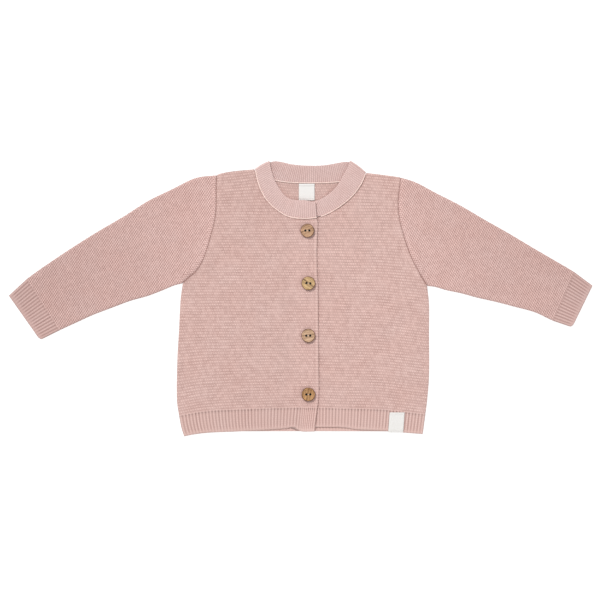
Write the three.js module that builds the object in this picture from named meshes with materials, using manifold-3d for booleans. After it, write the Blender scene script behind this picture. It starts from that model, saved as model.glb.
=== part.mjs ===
// A baby's knitted cardigan, laid flat and buttoned: a back, two fronts that overlap, two flattened
// sleeves with ribbed cuffs, a ribbed neckband, four wooden buttons and two sewn-in labels.
// Millimetres. X runs to the right as the garment is seen from above, Y towards its neck and Z up.
// "Right" and "left" are the wearer's, so the right side is at minus X. The origin is on the surface
// that the garment rests on, under the middle of its outline.

import * as THREE from "three";
import { mergeVertices } from "three/addons/utils/BufferGeometryUtils.js";
import Module from "manifold-3d";

// Cloth and layers
const WALL = 2.0; // knitted cloth
const BAND_WALL = 2.4; // doubled rib of the neckband
const LABEL_WALL = 0.5;
const GAP = 0.3; // between pieces that are sewn together or lie on each other
const FRONT_LIFT = WALL + GAP; // underside of the fronts, above the surface
const BAND_LIFT = BAND_WALL + GAP; // underside of the neckband where it lies on itself
const SWELL = 1.2; // how far the fronts bulge up from the back in the middle
const SWELL_MIDDLE = { x: 2.75, y: -25 };
const SWELL_REACH = { x: 138, y: 125 };
const SLEEVE_HEIGHT = 5.0; // both layers of a sleeve and the air between them
const ARMHOLE_HEIGHT = 4.6;
const FOLD_CLEARANCE = 1.5 * WALL; // how far a sleeve's plain inside stops short of its folds
const EDGE = 1.6; // width of the rounding along an edge
const EDGE_THICKNESS = 0.3; // share of the wall that is left at the very edge
const BAND_EDGE_THICKNESS = 0.5;
const MERGE_DISTANCE = 1e-4; // points closer than this are one point

// Knitted ribs
const RIB_DEPTH = 0.7;
const ROUND_CREST = [0.3, 0.7]; // points of a crest, as shares of the pitch
const SHARP_CREST = [0.5];
const HEM_RIB = 3.4; // pitch
const CUFF_RIB = 3.5;
const BAND_RIB = 2.1;
const BAND_RIB_DEPTH = 0.5;

// Front edges: the right front lies on the left one
const RIGHT_EDGE_X = 19.5;
const LEFT_EDGE_X = -4;
const STEP_END_X = LEFT_EDGE_X - 2.5; // the upper front has risen fully here, just before the lower one
const STEP_START_X = STEP_END_X - 5;

// Distance between the rows and columns that carry the shape
const COLUMN = 20;
const BAND_COLUMN = 4;

// Outline of each half, from the hem's corner to the underarm
const SIDE_RIGHT = [
  { x: -128, y: -151.5 },
  { x: -131, y: -142 },
  { x: -133.5, y: -129 },
  { x: -136, y: -111 },
  { x: -135.5, y: -67 },
  { x: -133.5, y: -32 },
  { x: -132, y: -1.5 },
  { x: -129.5, y: 17 },
];
const SIDE_LEFT = [
  { x: 134.5, y: -149 },
  { x: 135.5, y: -142 },
  { x: 137.5, y: -127 },
  { x: 139.5, y: -111.5 },
  { x: 141.5, y: -85 },
  { x: 141.5, y: -34.5 },
  { x: 141.5, y: -6 },
  { x: 139.5, y: 14 },
];

// Armhole seams, from the underarm to the shoulder. Each row also says where the same row of knitting
// meets the front edge or the neck seam.
const ARMHOLE_RIGHT = [
  { x: -129.5, y: 17, frontX: RIGHT_EDGE_X, frontY: 17 },
  { x: -123.5, y: 22.5, frontX: RIGHT_EDGE_X, frontY: 30 },
  { x: -115, y: 30, frontX: RIGHT_EDGE_X, frontY: 45 },
  { x: -108, y: 40.5, frontX: RIGHT_EDGE_X, frontY: 60 },
  { x: -102.5, y: 55, frontX: 19, frontY: 75 },
  { x: -98.5, y: 69, frontX: 18, frontY: 89 },
  { x: -94.5, y: 84.5, frontX: 3.5, frontY: 88 },
  { x: -93, y: 95, frontX: -13.5, frontY: 90.5 },
  { x: -92.5, y: 105, frontX: -27, frontY: 98.5 },
  { x: -92.5, y: 113, frontX: -37.5, frontY: 109 },
  { x: -92.5, y: 121, frontX: -43, frontY: 118.5 },
  { x: -92.3, y: 129, frontX: -47.5, frontY: 131 },
  { x: -92, y: 136, frontX: -50.5, frontY: 142.5 },
];
const ARMHOLE_LEFT = [
  { x: 139.5, y: 14, frontX: LEFT_EDGE_X, frontY: 14 },
  { x: 132, y: 26, frontX: LEFT_EDGE_X, frontY: 30 },
  { x: 127, y: 35, frontX: LEFT_EDGE_X, frontY: 45 },
  { x: 122, y: 45, frontX: LEFT_EDGE_X, frontY: 60 },
  { x: 117.5, y: 57, frontX: LEFT_EDGE_X, frontY: 75 },
  { x: 113.5, y: 69, frontX: LEFT_EDGE_X, frontY: 91.5 },
  { x: 110.5, y: 80, frontX: 8, frontY: 90.3 },
  { x: 108.3, y: 91, frontX: 20, frontY: 89.8 },
  { x: 107.5, y: 100, frontX: 31, frontY: 94 },
  { x: 107.5, y: 108.5, frontX: 43.5, frontY: 101.5 },
  { x: 108.3, y: 117, frontX: 56, frontY: 112 },
  { x: 109.2, y: 125.5, frontX: 64.5, frontY: 122.5 },
  { x: 110, y: 133.5, frontX: 72.5, frontY: 138.5 },
];
const CORNER_ROW = 5; // the row that ends where the front edge meets the neck seam

const SHOULDER_BULGE = 1.4; // of the shoulder lines, above a straight line

// Hems: lower edge and the line where the rib meets the plain knitting
const HEM_RIGHT = [
  { x: -128, y: -151.5 },
  { x: -118, y: -149.5 },
  { x: -101.5, y: -147.5 },
  { x: -66.5, y: -146 },
  { x: -17, y: -143 },
  { x: -6, y: -141.3 },
  { x: -2.5, y: -144.3 },
  { x: 2, y: -146 },
  { x: 15.5, y: -146 },
];
const HEM_LEFT = [
  { x: -3, y: -141.5 },
  { x: 38, y: -141.5 },
  { x: 49, y: -142 },
  { x: 63, y: -144 },
  { x: 96, y: -145.5 },
  { x: 109.5, y: -147 },
  { x: 134.5, y: -149 },
];
const HEM_BACK = [
  { x: -127.5, y: -151 },
  { x: -101.5, y: -147 },
  { x: -74, y: -146 },
  { x: 93, y: -146 },
  { x: 110, y: -146.7 },
  { x: 134, y: -148.6 },
];
const RIB_TOP = [
  { x: -133.5, y: -128.5 },
  { x: -104, y: -123.5 },
  { x: -68, y: -121.5 },
  { x: 0, y: -119.5 },
  { x: 49, y: -120.5 },
  { x: 88, y: -121.5 },
  { x: 111.5, y: -124 },
  { x: 137.5, y: -127 },
];
const RIB_FADE_Y = -60; // rows above this are straight
const HEM_TAPER = 0.4; // share of the way from the hem's end out to the front edge, where the rib ends
const RIB_TOP_ROW = 2; // row of the sides where the rib ends
const ROW_STEP = 0.5; // between the rows that are built, in rows of the armhole tables
const CORNER_ROW_STEP = 0.25;

// Sleeves, from the cuff's end to the armhole: upper and lower edge of each ring
const SLEEVE_RIGHT = [
  { upperX: -321, upperY: 3.5, lowerX: -286.5, lowerY: -45.5 },
  { upperX: -301.5, upperY: 21.5, lowerX: -265.5, lowerY: -35 },
  { upperX: -273.5, upperY: 41.5, lowerX: -245, lowerY: -25.5 },
  { upperX: -247, upperY: 59, lowerX: -228.5, lowerY: -18 },
  { upperX: -220.5, upperY: 75.5, lowerX: -207.5, lowerY: -10 },
  { upperX: -194, upperY: 91, lowerX: -187.5, lowerY: -2.5 },
  { upperX: -168, upperY: 107.5, lowerX: -168, lowerY: 3 },
  { upperX: -141.5, upperY: 120.5, lowerX: -151, lowerY: 9.5 },
  { upperX: -115, upperY: 133, lowerX: -139, lowerY: 14.5 },
  { upperX: -92, upperY: 136, lowerX: -129.5, lowerY: 17 },
];
const SLEEVE_LEFT = [
  { upperX: 321.5, upperY: 14.5, lowerX: 299, lowerY: -31.5 },
  { upperX: 302, upperY: 29, lowerX: 278.5, lowerY: -24.5 },
  { upperX: 281, upperY: 41.5, lowerX: 258, lowerY: -15 },
  { upperX: 254.5, upperY: 57, lowerX: 236, lowerY: -9 },
  { upperX: 228.5, upperY: 72.5, lowerX: 215, lowerY: -3.5 },
  { upperX: 202, upperY: 87.5, lowerX: 195, lowerY: 1 },
  { upperX: 175.5, upperY: 103, lowerX: 176.5, lowerY: 6 },
  { upperX: 149, upperY: 116.5, lowerX: 160, lowerY: 9.5 },
  { upperX: 126, upperY: 128.5, lowerX: 148, lowerY: 13 },
  { upperX: 110, upperY: 133.5, lowerX: 139.5, lowerY: 14 },
];
const CUFF_ROWS = 1; // stations before this one are ribbed
const SEAM_BEND_ROW = 3; // rings before this one are straight
const SEAM_SHIFT = 0.45; // keeps the sewn-on piece a gap away from a curved seam

// Neckband, from the upper front end round the neck to the lower one: sewn edge and free edge
const BAND_RIGHT = [
  { seamX: 18, seamY: 89, freeX: 16.5, freeY: 106 },
  { seamX: 3.5, seamY: 88, freeX: 4, freeY: 108.3 },
  { seamX: -13.5, seamY: 90.5, freeX: -7.5, freeY: 108.8 },
  { seamX: -27, seamY: 98.5, freeX: -16.5, freeY: 113 },
  { seamX: -37.5, seamY: 109, freeX: -23.5, freeY: 122 },
  { seamX: -43, seamY: 118.5, freeX: -28, freeY: 130 },
  { seamX: -47.5, seamY: 131, freeX: -31.5, freeY: 139.5 },
];
const FOLD_RIGHT = { seamX: -50.5, seamY: 142.5, freeX: -33.5, freeY: 150.5 };
const BAND_BACK = [
  { seamX: -42, seamY: 135.5, freeX: -28.5, freeY: 150.8 },
  { seamX: -30, seamY: 131, freeX: -21, freeY: 150 },
  { seamX: -15, seamY: 128.3, freeX: -9, freeY: 147.5 },
  { seamX: 7, seamY: 127.5, freeX: 8, freeY: 146 },
  { seamX: 28, seamY: 127.6, freeX: 26, freeY: 146.5 },
  { seamX: 47, seamY: 129.3, freeX: 41, freeY: 149 },
  { seamX: 60, seamY: 132.8, freeX: 49, freeY: 150.2 },
];
const FOLD_LEFT = { seamX: 72.5, seamY: 138.5, freeX: 54.5, freeY: 150.5 };
const BAND_LEFT = [
  { seamX: 69.8, seamY: 132.5, freeX: 51.5, freeY: 144 },
  { seamX: 64.5, seamY: 122.5, freeX: 47, freeY: 136 },
  { seamX: 56, seamY: 112, freeX: 40.5, freeY: 124.5 },
  { seamX: 43.5, seamY: 101.5, freeX: 31.5, freeY: 115.5 },
  { seamX: 31, seamY: 94, freeX: 22.5, freeY: 109.8 },
  { seamX: 20, seamY: 89.8, freeX: 14, freeY: 107 },
  { seamX: 8, seamY: 90.3, freeX: 6, freeY: 106.3 },
  { seamX: -4, seamY: 91.5, freeX: -4, freeY: 106 },
];

// The back's own edge along the neckband
const BACK_NECK = [
  { x: -50.5, y: 142.5 },
  { x: -49.7, y: 139.2 },
  { x: -42, y: 134.9 },
  { x: -30, y: 131 },
  { x: -15, y: 128.3 },
  { x: 7, y: 127.5 },
  { x: 28, y: 127.6 },
  { x: 47, y: 129.3 },
  { x: 60, y: 132.5 },
  { x: 71.6, y: 135.5 },
  { x: 72.5, y: 138.5 },
];
const NECK_COLUMN = 7;

// Wooden buttons
const BUTTON = { radius: 7.5, thickness: 3.2, round: 0.7, rim: 1.4, dish: 0.7 };
const BUTTON_HOLE = { radius: 1.0, spacing: 4.2 };
const BUTTON_SEGMENTS = 24;
const HOLE_SEGMENTS = 10;
const BUTTONS = [
  { x: 7.6, y: 74.8, wood: "#b08a63" },
  { x: 8.7, y: 17, wood: "#c6a678" },
  { x: 8.6, y: -40.5, wood: "#c6a678" },
  { x: 8.7, y: -105, wood: "#b08a63" },
];

// Labels: one sewn in at the back neck, one on the left front's hem
const NECK_LABEL = { left: -1.8, right: 15.6, top: 126.6, bottom: 108, lean: 0 };
const HEM_LABEL = { left: 98, right: 114.5, top: -125, bottom: -147, lean: -1.5 };

const KNIT = { color: "#d8b3ab", roughness: 0.95, metalness: 0 };
const SLEEVE_KNIT = { color: "#d3aea7", roughness: 0.95, metalness: 0 };
const LABEL = { color: "#f1efec", roughness: 0.7, metalness: 0 };

const lerp = THREE.MathUtils.lerp;
const clamp = THREE.MathUtils.clamp;
const smoothstep = THREE.MathUtils.smoothstep;

// Smooth function through the rows of a table, from its column "from" to its column "to".
function smoothFunction(rows, from, to) {
  const last = rows.length - 1;
  const slope = (i) => {
    const before = rows[Math.max(i - 1, 0)];
    const after = rows[Math.min(i + 1, last)];
    return (after[to] - before[to]) / (after[from] - before[from]);
  };
  return (value) => {
    const found = rows.findIndex((row, i) => i > 0 && value <= row[from]);
    const end = found < 0 ? last : found;
    const span = rows[end][from] - rows[end - 1][from];
    const t = clamp((value - rows[end - 1][from]) / span, 0, 1);
    const rise = (slope(end - 1) * (1 - t) - slope(end) * t) * span * t * (1 - t);
    return lerp(rows[end - 1][to], rows[end][to], t * t * (3 - 2 * t)) + rise;
  };
}

// Smooth curve through the rows of a table; getPoint(i / last) is row i.
function curveThrough(rows, xColumn, yColumn) {
  return new THREE.CatmullRomCurve3(rows.map((row) => new THREE.Vector3(row[xColumn], row[yColumn], 0)));
}

// Share of the wall that stands at a distance from its edge.
function edgeShare(distance) {
  const out = 1 - clamp(distance / EDGE, 0, 1);
  return EDGE_THICKNESS + (1 - EDGE_THICKNESS) * Math.sqrt(1 - out * out);
}

// How far the fronts stand off the back, in the middle of each half.
function swell(x, y) {
  const across = clamp(1 - ((x - SWELL_MIDDLE.x) / SWELL_REACH.x) ** 4, 0, 1);
  const along = clamp(1 - ((y - SWELL_MIDDLE.y) / SWELL_REACH.y) ** 4, 0, 1);
  return SWELL * across * along;
}

// From 0 to 1 where the upper layer climbs onto the lower one at the front edges.
function step(x) {
  return clamp((x - STEP_START_X) / (STEP_END_X - STEP_START_X), 0, 1);
}

const undersideRight = (x, y) => FRONT_LIFT * (1 + step(x)) + swell(x, y);
const undersideLeft = (x, y) => FRONT_LIFT + swell(x, y);

// A row of vertices with its share of the way along the row, as seen from above.
function addRow(vertices, points, closed, shares) {
  const index = points.map((point) => vertices.push(point) - 1);
  const loop = closed ? [...points, points[0]] : points;
  if (closed) {
    index.push(index[0]);
  }
  if (shares) {
    return { index, along: shares };
  }
  const along = [0];
  for (let i = 1; i < loop.length; i += 1) {
    along.push(along[i - 1] + Math.hypot(loop[i].x - loop[i - 1].x, loop[i].y - loop[i - 1].y) + 1e-6);
  }
  return { index, along: along.map((length) => length / along[along.length - 1]) };
}

// Triangles between two rows, which may have different numbers of points.
function strip(triangles, a, b) {
  let i = 0;
  let j = 0;
  while (i < a.index.length - 1 || j < b.index.length - 1) {
    const nextA = a.along[i + 1] ?? Infinity;
    const nextB = b.along[j + 1] ?? Infinity;
    if (nextA <= nextB) {
      triangles.push(a.index[i], a.index[i + 1], b.index[j]);
      i += 1;
    } else {
      triangles.push(a.index[i], b.index[j + 1], b.index[j]);
      j += 1;
    }
  }
}

// A wall of cloth through sections. A section has an outer and an inner row of points, which are
// open across a panel and closed round a tube.
function clothWall(sections, closed) {
  const vertices = [];
  const triangles = [];
  const rows = sections.map(({ outer, inner, outerShares, innerShares }) => ({
    outer: addRow(vertices, outer, closed, outerShares),
    inner: addRow(vertices, inner, closed, innerShares),
  }));
  const ends = (row) => ({ first: row.index[0], last: row.index[row.index.length - 1] });
  for (let i = 1; i < rows.length; i += 1) {
    const [before, after] = [rows[i - 1], rows[i]];
    strip(triangles, before.outer, after.outer);
    strip(triangles, after.inner, before.inner);
    if (!closed) {
      const [outerA, outerB] = [ends(before.outer), ends(after.outer)];
      const [innerA, innerB] = [ends(before.inner), ends(after.inner)];
      triangles.push(outerA.first, outerB.first, innerB.first, outerA.first, innerB.first, innerA.first);
      triangles.push(outerA.last, innerB.last, outerB.last, outerA.last, innerA.last, innerB.last);
    }
  }
  strip(triangles, rows[0].inner, rows[0].outer);
  strip(triangles, rows[rows.length - 1].outer, rows[rows.length - 1].inner);
  return closedGeometry(vertices, triangles);
}

// Geometry whose faces point out, whichever way round the rows ran.
function closedGeometry(vertices, triangles) {
  let volume = 0;
  for (let i = 0; i < triangles.length; i += 3) {
    const [a, b, c] = triangles.slice(i, i + 3).map((index) => vertices[index]);
    volume += a.dot(new THREE.Vector3().crossVectors(b, c));
  }
  const facing = volume < 0 ? [...triangles].reverse() : triangles;
  const geometry = new THREE.BufferGeometry().setFromPoints(vertices);
  geometry.setIndex(facing);
  return mergeVertices(geometry, MERGE_DISTANCE);
}

// Stations across a row of the given length: close to both edges, at the wanted places, and evenly
// between them. Each is a share of the length.
function coarseStations(length, places = []) {
  const inside = places.filter((place) => place > EDGE + 1 && place < length - EDGE - 1);
  const fixed = [EDGE, ...inside, length - EDGE];
  const stations = [0, EDGE];
  for (let i = 1; i < fixed.length; i += 1) {
    const count = Math.ceil((fixed[i] - fixed[i - 1]) / COLUMN);
    for (let k = 1; k <= count; k += 1) {
      stations.push(lerp(fixed[i - 1], fixed[i], k / count));
    }
  }
  stations.push(length);
  return stations.map((station) => station / length);
}

// Stations over knitted ribs, with the depth of each: a valley, then the points of a crest.
function ribStations(count, crest) {
  const stations = [];
  for (let rib = 0; rib < count; rib += 1) {
    stations.push({ share: rib / count, depth: rib === 0 ? 0 : RIB_DEPTH });
    for (const place of crest) {
      stations.push({ share: (rib + place) / count, depth: 0 });
    }
  }
  stations.push({ share: 1, depth: 0 });
  return stations;
}

// One row across a panel, from a start to an end point. bend(x) shifts it along Y, and edge is the
// row's own distance from the panel's lower or upper edge.
function panelRow(row) {
  const { start, end, top, bottom, bend = () => 0, edge = Infinity } = row;
  const { ribs = 0, crest = ROUND_CREST, places = [] } = row;
  const length = start.distanceTo(end);
  const toPoint = (share, height, depth) => {
    const x = lerp(start.x, end.x, share);
    const y = lerp(start.y, end.y, share) + bend(x, share);
    const distance = Math.min(share * length, (1 - share) * length, edge);
    return new THREE.Vector3(x, y, height(x, y, distance) - depth);
  };
  const placesAlong = places.map((x) => ((x - start.x) / (end.x - start.x)) * length);
  const coarse = coarseStations(length, placesAlong);
  const fine = ribs ? ribStations(ribs, crest) : coarse.map((share) => ({ share, depth: 0 }));
  const edgeDepth = edge < EDGE ? EDGE_THICKNESS : 1;
  return {
    outer: fine.map(({ share, depth }) => toPoint(share, top, depth * edgeDepth)),
    inner: coarse.map((share) => toPoint(share, bottom, 0)),
  };
}

// Rows of a front, from its hem to its shoulder.
function frontSections({ side, armhole, hem, edgeX, hemEdgeX, underside, places }) {
  const sideX = smoothFunction(side, "y", "x");
  const hemY = smoothFunction(hem, "x", "y");
  const ribTopY = smoothFunction(RIB_TOP, "x", "y");
  const hemLength = Math.abs(side[0].x - hemEdgeX);
  const top = (x, y, distance) => underside(x, y) + WALL * edgeShare(distance);
  const bottom = (x, y) => underside(x, y);
  const row = (start, end, more) => panelRow({ start, end, top, bottom, places, ...more });
  const hemRow = (share, more) => {
    const sideStartY = lerp(side[0].y, ribTopY(side[RIB_TOP_ROW].x), share);
    const start = new THREE.Vector2(sideX(sideStartY), 0);
    const end = new THREE.Vector2(lerp(hemEdgeX, edgeX, HEM_TAPER * share), 0);
    const bend = (x) => lerp(hemY(x), ribTopY(x), share);
    return row(start, end, { bend, ...more });
  };
  const hemHeight = ribTopY(0) - hemY(side[0].x * 0.5);
  const ribs = Math.round(hemLength / HEM_RIB);
  const sections = [
    hemRow(0, { edge: 0, ribs }),
    hemRow(EDGE / hemHeight, { edge: EDGE, ribs }),
    hemRow(1 - EDGE / hemHeight, { ribs }),
    hemRow(1, { edge: EDGE / 2 }),
    hemRow(1 + EDGE / hemHeight, {}),
  ];
  for (const { x, y } of side.slice(RIB_TOP_ROW + 1, -1)) {
    const fade = smoothstep(y, ribTopY(0), RIB_FADE_Y);
    const level = (at) => (ribTopY(at) - ribTopY(x)) * (1 - fade);
    sections.push(row(new THREE.Vector2(x, y), new THREE.Vector2(edgeX, y), { bend: level }));
  }
  const armholeCurve = curveThrough(armhole, "x", "y");
  const last = armhole.length - 1;
  const neckCurve = curveThrough(armhole.slice(CORNER_ROW), "frontX", "frontY");
  const nearCorner = (i) => i >= CORNER_ROW && i < CORNER_ROW + 2;
  for (let i = 0; i <= last; i += nearCorner(i) ? CORNER_ROW_STEP : ROW_STEP) {
    const outer = armholeCurve.getPoint(i / last);
    const start = new THREE.Vector2(outer.x, outer.y);
    const end = new THREE.Vector2();
    if (i < CORNER_ROW) {
      const [below, above] = [armhole[Math.floor(i)], armhole[Math.ceil(i)]];
      end.set((below.frontX + above.frontX) / 2, (below.frontY + above.frontY) / 2);
    } else {
      const neck = neckCurve.getPoint((i - CORNER_ROW) / (last - CORNER_ROW));
      end.set(neck.x, neck.y);
    }
    const nearTop = smoothstep(i, last - 1, last);
    const bend = (x, share) => SHOULDER_BULGE * nearTop * Math.sin(Math.PI * share);
    sections.push(row(start, end, { bend, edge: i === last ? 0 : Infinity }));
  }
  return sections;
}

function frontRight() {
  const places = [STEP_START_X, STEP_END_X];
  return clothWall(frontSections({
    side: SIDE_RIGHT,
    armhole: ARMHOLE_RIGHT,
    hem: HEM_RIGHT,
    edgeX: RIGHT_EDGE_X,
    hemEdgeX: HEM_RIGHT[HEM_RIGHT.length - 1].x,
    underside: undersideRight,
    places,
  }), false);
}

function frontLeft() {
  return clothWall(frontSections({
    side: SIDE_LEFT,
    armhole: ARMHOLE_LEFT,
    hem: HEM_LEFT,
    edgeX: LEFT_EDGE_X,
    hemEdgeX: HEM_LEFT[0].x,
    underside: undersideLeft,
    places: [],
  }), false);
}

// The back's upper edge: shoulder, neck seam and other shoulder.
function backTop() {
  const neckY = smoothFunction(BACK_NECK, "x", "y");
  const right = ARMHOLE_RIGHT[ARMHOLE_RIGHT.length - 1];
  const left = ARMHOLE_LEFT[ARMHOLE_LEFT.length - 1];
  return (x) => {
    const [outer, inner] = x < FOLD_RIGHT.seamX ? [right, FOLD_RIGHT] : [left, FOLD_LEFT];
    const share = (x - outer.x) / (inner.seamX - outer.x);
    if (share < 1) {
      return lerp(outer.y, inner.seamY, share) + SHOULDER_BULGE * Math.sin(Math.PI * share);
    }
    return neckY(x);
  };
}

function back() {
  const top = () => WALL;
  const bottom = (x, y, distance) => WALL * (1 - edgeShare(distance));
  const rightX = smoothFunction(SIDE_RIGHT, "y", "x");
  const leftX = smoothFunction(SIDE_LEFT, "y", "x");
  const hemY = smoothFunction(HEM_BACK, "x", "y");
  const ribTopY = smoothFunction(RIB_TOP, "x", "y");
  const topY = backTop();
  const row = (start, end, more) => panelRow({ start, end, top, bottom, crest: SHARP_CREST, ...more });
  const ribs = Math.round((SIDE_LEFT[0].x - SIDE_RIGHT[0].x) / HEM_RIB);
  const hemRow = (share, more) => {
    const y = lerp(HEM_BACK[0].y, RIB_TOP[0].y, share);
    const bend = (x) => lerp(hemY(x), ribTopY(x), share);
    return row(new THREE.Vector2(rightX(y), 0), new THREE.Vector2(leftX(y), 0), { bend, ...more });
  };
  const edgeShareOfHem = EDGE / (RIB_TOP[0].y - HEM_BACK[0].y);
  const sections = [
    hemRow(0, { edge: 0, ribs }),
    hemRow(edgeShareOfHem, { edge: EDGE, ribs }),
    hemRow(1 - edgeShareOfHem, { ribs }),
    hemRow(1, {}),
  ];
  for (let i = RIB_TOP_ROW + 1; i < SIDE_RIGHT.length - 1; i += 1) {
    const [start, end] = [SIDE_RIGHT[i], SIDE_LEFT[i]];
    sections.push(row(new THREE.Vector2(start.x, start.y), new THREE.Vector2(end.x, end.y), {}));
  }
  const curves = [curveThrough(ARMHOLE_RIGHT, "x", "y"), curveThrough(ARMHOLE_LEFT, "x", "y")];
  const last = ARMHOLE_RIGHT.length - 1;
  const [topStart, topEnd] = curves.map((curve) => curve.getPoint(1));
  const places = BACK_NECK.slice(0, 3).map(({ x }) => x);
  const [neckStart, neckEnd] = [BACK_NECK[2].x, BACK_NECK[BACK_NECK.length - 2].x];
  const count = Math.ceil((neckEnd - neckStart) / NECK_COLUMN);
  for (let k = 1; k <= count; k += 1) {
    places.push(lerp(neckStart, neckEnd, k / count));
  }
  places.push(FOLD_LEFT.seamX);
  for (let i = 0; i <= last; i += ROW_STEP) {
    const [start, end] = curves.map((curve) => curve.getPoint(i / last));
    const blend = smoothstep(i, last / 2, last);
    const level = (share) => lerp(topStart.y, topEnd.y, share);
    const bend = (x, share) => blend * (topY(clamp(x, topStart.x, topEnd.x)) - level(share));
    sections.push(row(new THREE.Vector2(start.x, start.y), new THREE.Vector2(end.x, end.y), {
      bend,
      places: i > last - 2 ? places : [],
      edge: i === last ? 0 : Infinity,
    }));
  }
  return clothWall(sections, false);
}

// A ring round a flattened sleeve. share runs from its upper edge to its lower one.
function sleeveRing({ place, shares, width, height, ribs }) {
  const radius = height / 2;
  const round = (angle) => (radius * (1 - Math.cos(angle))) / width;
  const point = (share, z) => new THREE.Vector3(place(share).x, place(share).y, z);
  const flank = [0, Math.PI / 4];
  const flat = shares.filter((share) => share > round(Math.PI / 2) && share < 1 - round(Math.PI / 2));
  const inside = [round(Math.PI / 2), ...flat, 1 - round(Math.PI / 2)];
  const crests = ribs ? ribStations(ribs, ROUND_CREST).slice(1, -1) : [];
  const ribbed = crests.map(({ share, depth }) => ({
    share: lerp(inside[0], inside[inside.length - 1], share),
    depth,
  }));
  const topPoints = ribs ? ribbed : inside.map((share) => ({ share, depth: 0 }));
  const outer = [
    ...flank.map((angle) => point(round(angle), radius + radius * Math.sin(angle))),
    ...topPoints.map(({ share, depth }) => point(share, height - depth)),
    ...flank.toReversed().map((angle) => point(1 - round(angle), radius + radius * Math.sin(angle))),
    point(1 - round(Math.PI / 4), radius - radius * Math.SQRT1_2),
    ...inside.toReversed().map((share) => point(share, 0)),
    point(round(Math.PI / 4), radius - radius * Math.SQRT1_2),
  ];
  const wall = WALL / width;
  const clearance = FOLD_CLEARANCE / width;
  const within = inside.map((share) => clamp(share, clearance, 1 - clearance));
  const inner = [
    point(wall, radius),
    ...within.map((share) => point(share, height - WALL)),
    point(1 - wall, radius),
    ...within.toReversed().map((share) => point(share, WALL)),
  ];
  return { outer, inner };
}

// A sleeve: rings from the cuff's end to the armhole seam, which it meets all along.
function sleeve(stations, armhole) {
  const outward = Math.sign(stations[0].upperX);
  const armholeCurve = curveThrough(armhole, "x", "y");
  const last = armhole.length - 1;
  const seam = [];
  for (let i = last; i >= 0; i -= ROW_STEP) {
    seam.push(armholeCurve.getPoint(i / last));
  }
  const lengths = seam.map((point, i) => (i ? point.distanceTo(seam[i - 1]) : 0));
  const total = lengths.reduce((sum, length) => sum + length, 0);
  let travelled = 0;
  const seamShares = lengths.map((length) => (travelled += length) / total);
  const seamRows = seam.map((point, i) => ({ share: seamShares[i], x: point.x, y: point.y }));
  const onSeam = (share) => {
    const end = Math.max(1, seamRows.findIndex((row) => share <= row.share + 1e-9));
    const [a, b] = [seamRows[end - 1], seamRows[end]];
    const t = (share - a.share) / (b.share - a.share);
    return new THREE.Vector2(lerp(a.x, b.x, t) + outward * SEAM_SHIFT, lerp(a.y, b.y, t));
  };
  const upper = curveThrough(stations, "upperX", "upperY");
  const lower = curveThrough(stations, "lowerX", "lowerY");
  const end = stations.length - 1;
  const chord = (share) => {
    const [a, b] = [seam[0], seam[seam.length - 1]];
    return new THREE.Vector2(lerp(a.x, b.x, share), lerp(a.y, b.y, share));
  };
  const ring = (station, { ribs = 0, squeeze = 0 } = {}) => {
    const [a, b] = [upper.getPoint(station / end), lower.getPoint(station / end)];
    const towardsSeam = smoothstep(station, SEAM_BEND_ROW, end) ** 2;
    const place = (share) => {
      const shift = onSeam(share).sub(chord(share)).multiplyScalar(towardsSeam);
      return new THREE.Vector2(lerp(a.x, b.x, share) + shift.x, lerp(a.y, b.y, share) + shift.y);
    };
    const height = station > CUFF_ROWS + 1
      ? lerp(SLEEVE_HEIGHT, ARMHOLE_HEIGHT, smoothstep(station, end - 2, end))
      : ARMHOLE_HEIGHT;
    const shares = seamShares.filter((share, i) => station === end || i % 2 === 0);
    return sleeveRing({ place, shares, width: a.distanceTo(b), height: height - squeeze, ribs });
  };
  const cuffLength = upper.getPoint(0).distanceTo(upper.getPoint(CUFF_ROWS / end));
  const ribs = Math.round((upper.getPoint(0).distanceTo(lower.getPoint(0)) - ARMHOLE_HEIGHT) / CUFF_RIB);
  const near = EDGE / cuffLength;
  const sections = [
    ring(0, { ribs, squeeze: RIB_DEPTH / 2 }),
    ring(near, { ribs }),
    ring(CUFF_ROWS - near, { ribs }),
    ring(CUFF_ROWS, { squeeze: RIB_DEPTH / 2 }),
    ring(CUFF_ROWS + near),
  ];
  for (let station = CUFF_ROWS + 1; station <= end; station += 1) {
    sections.push(ring(station));
  }
  return clothWall(sections, true);
}

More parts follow.
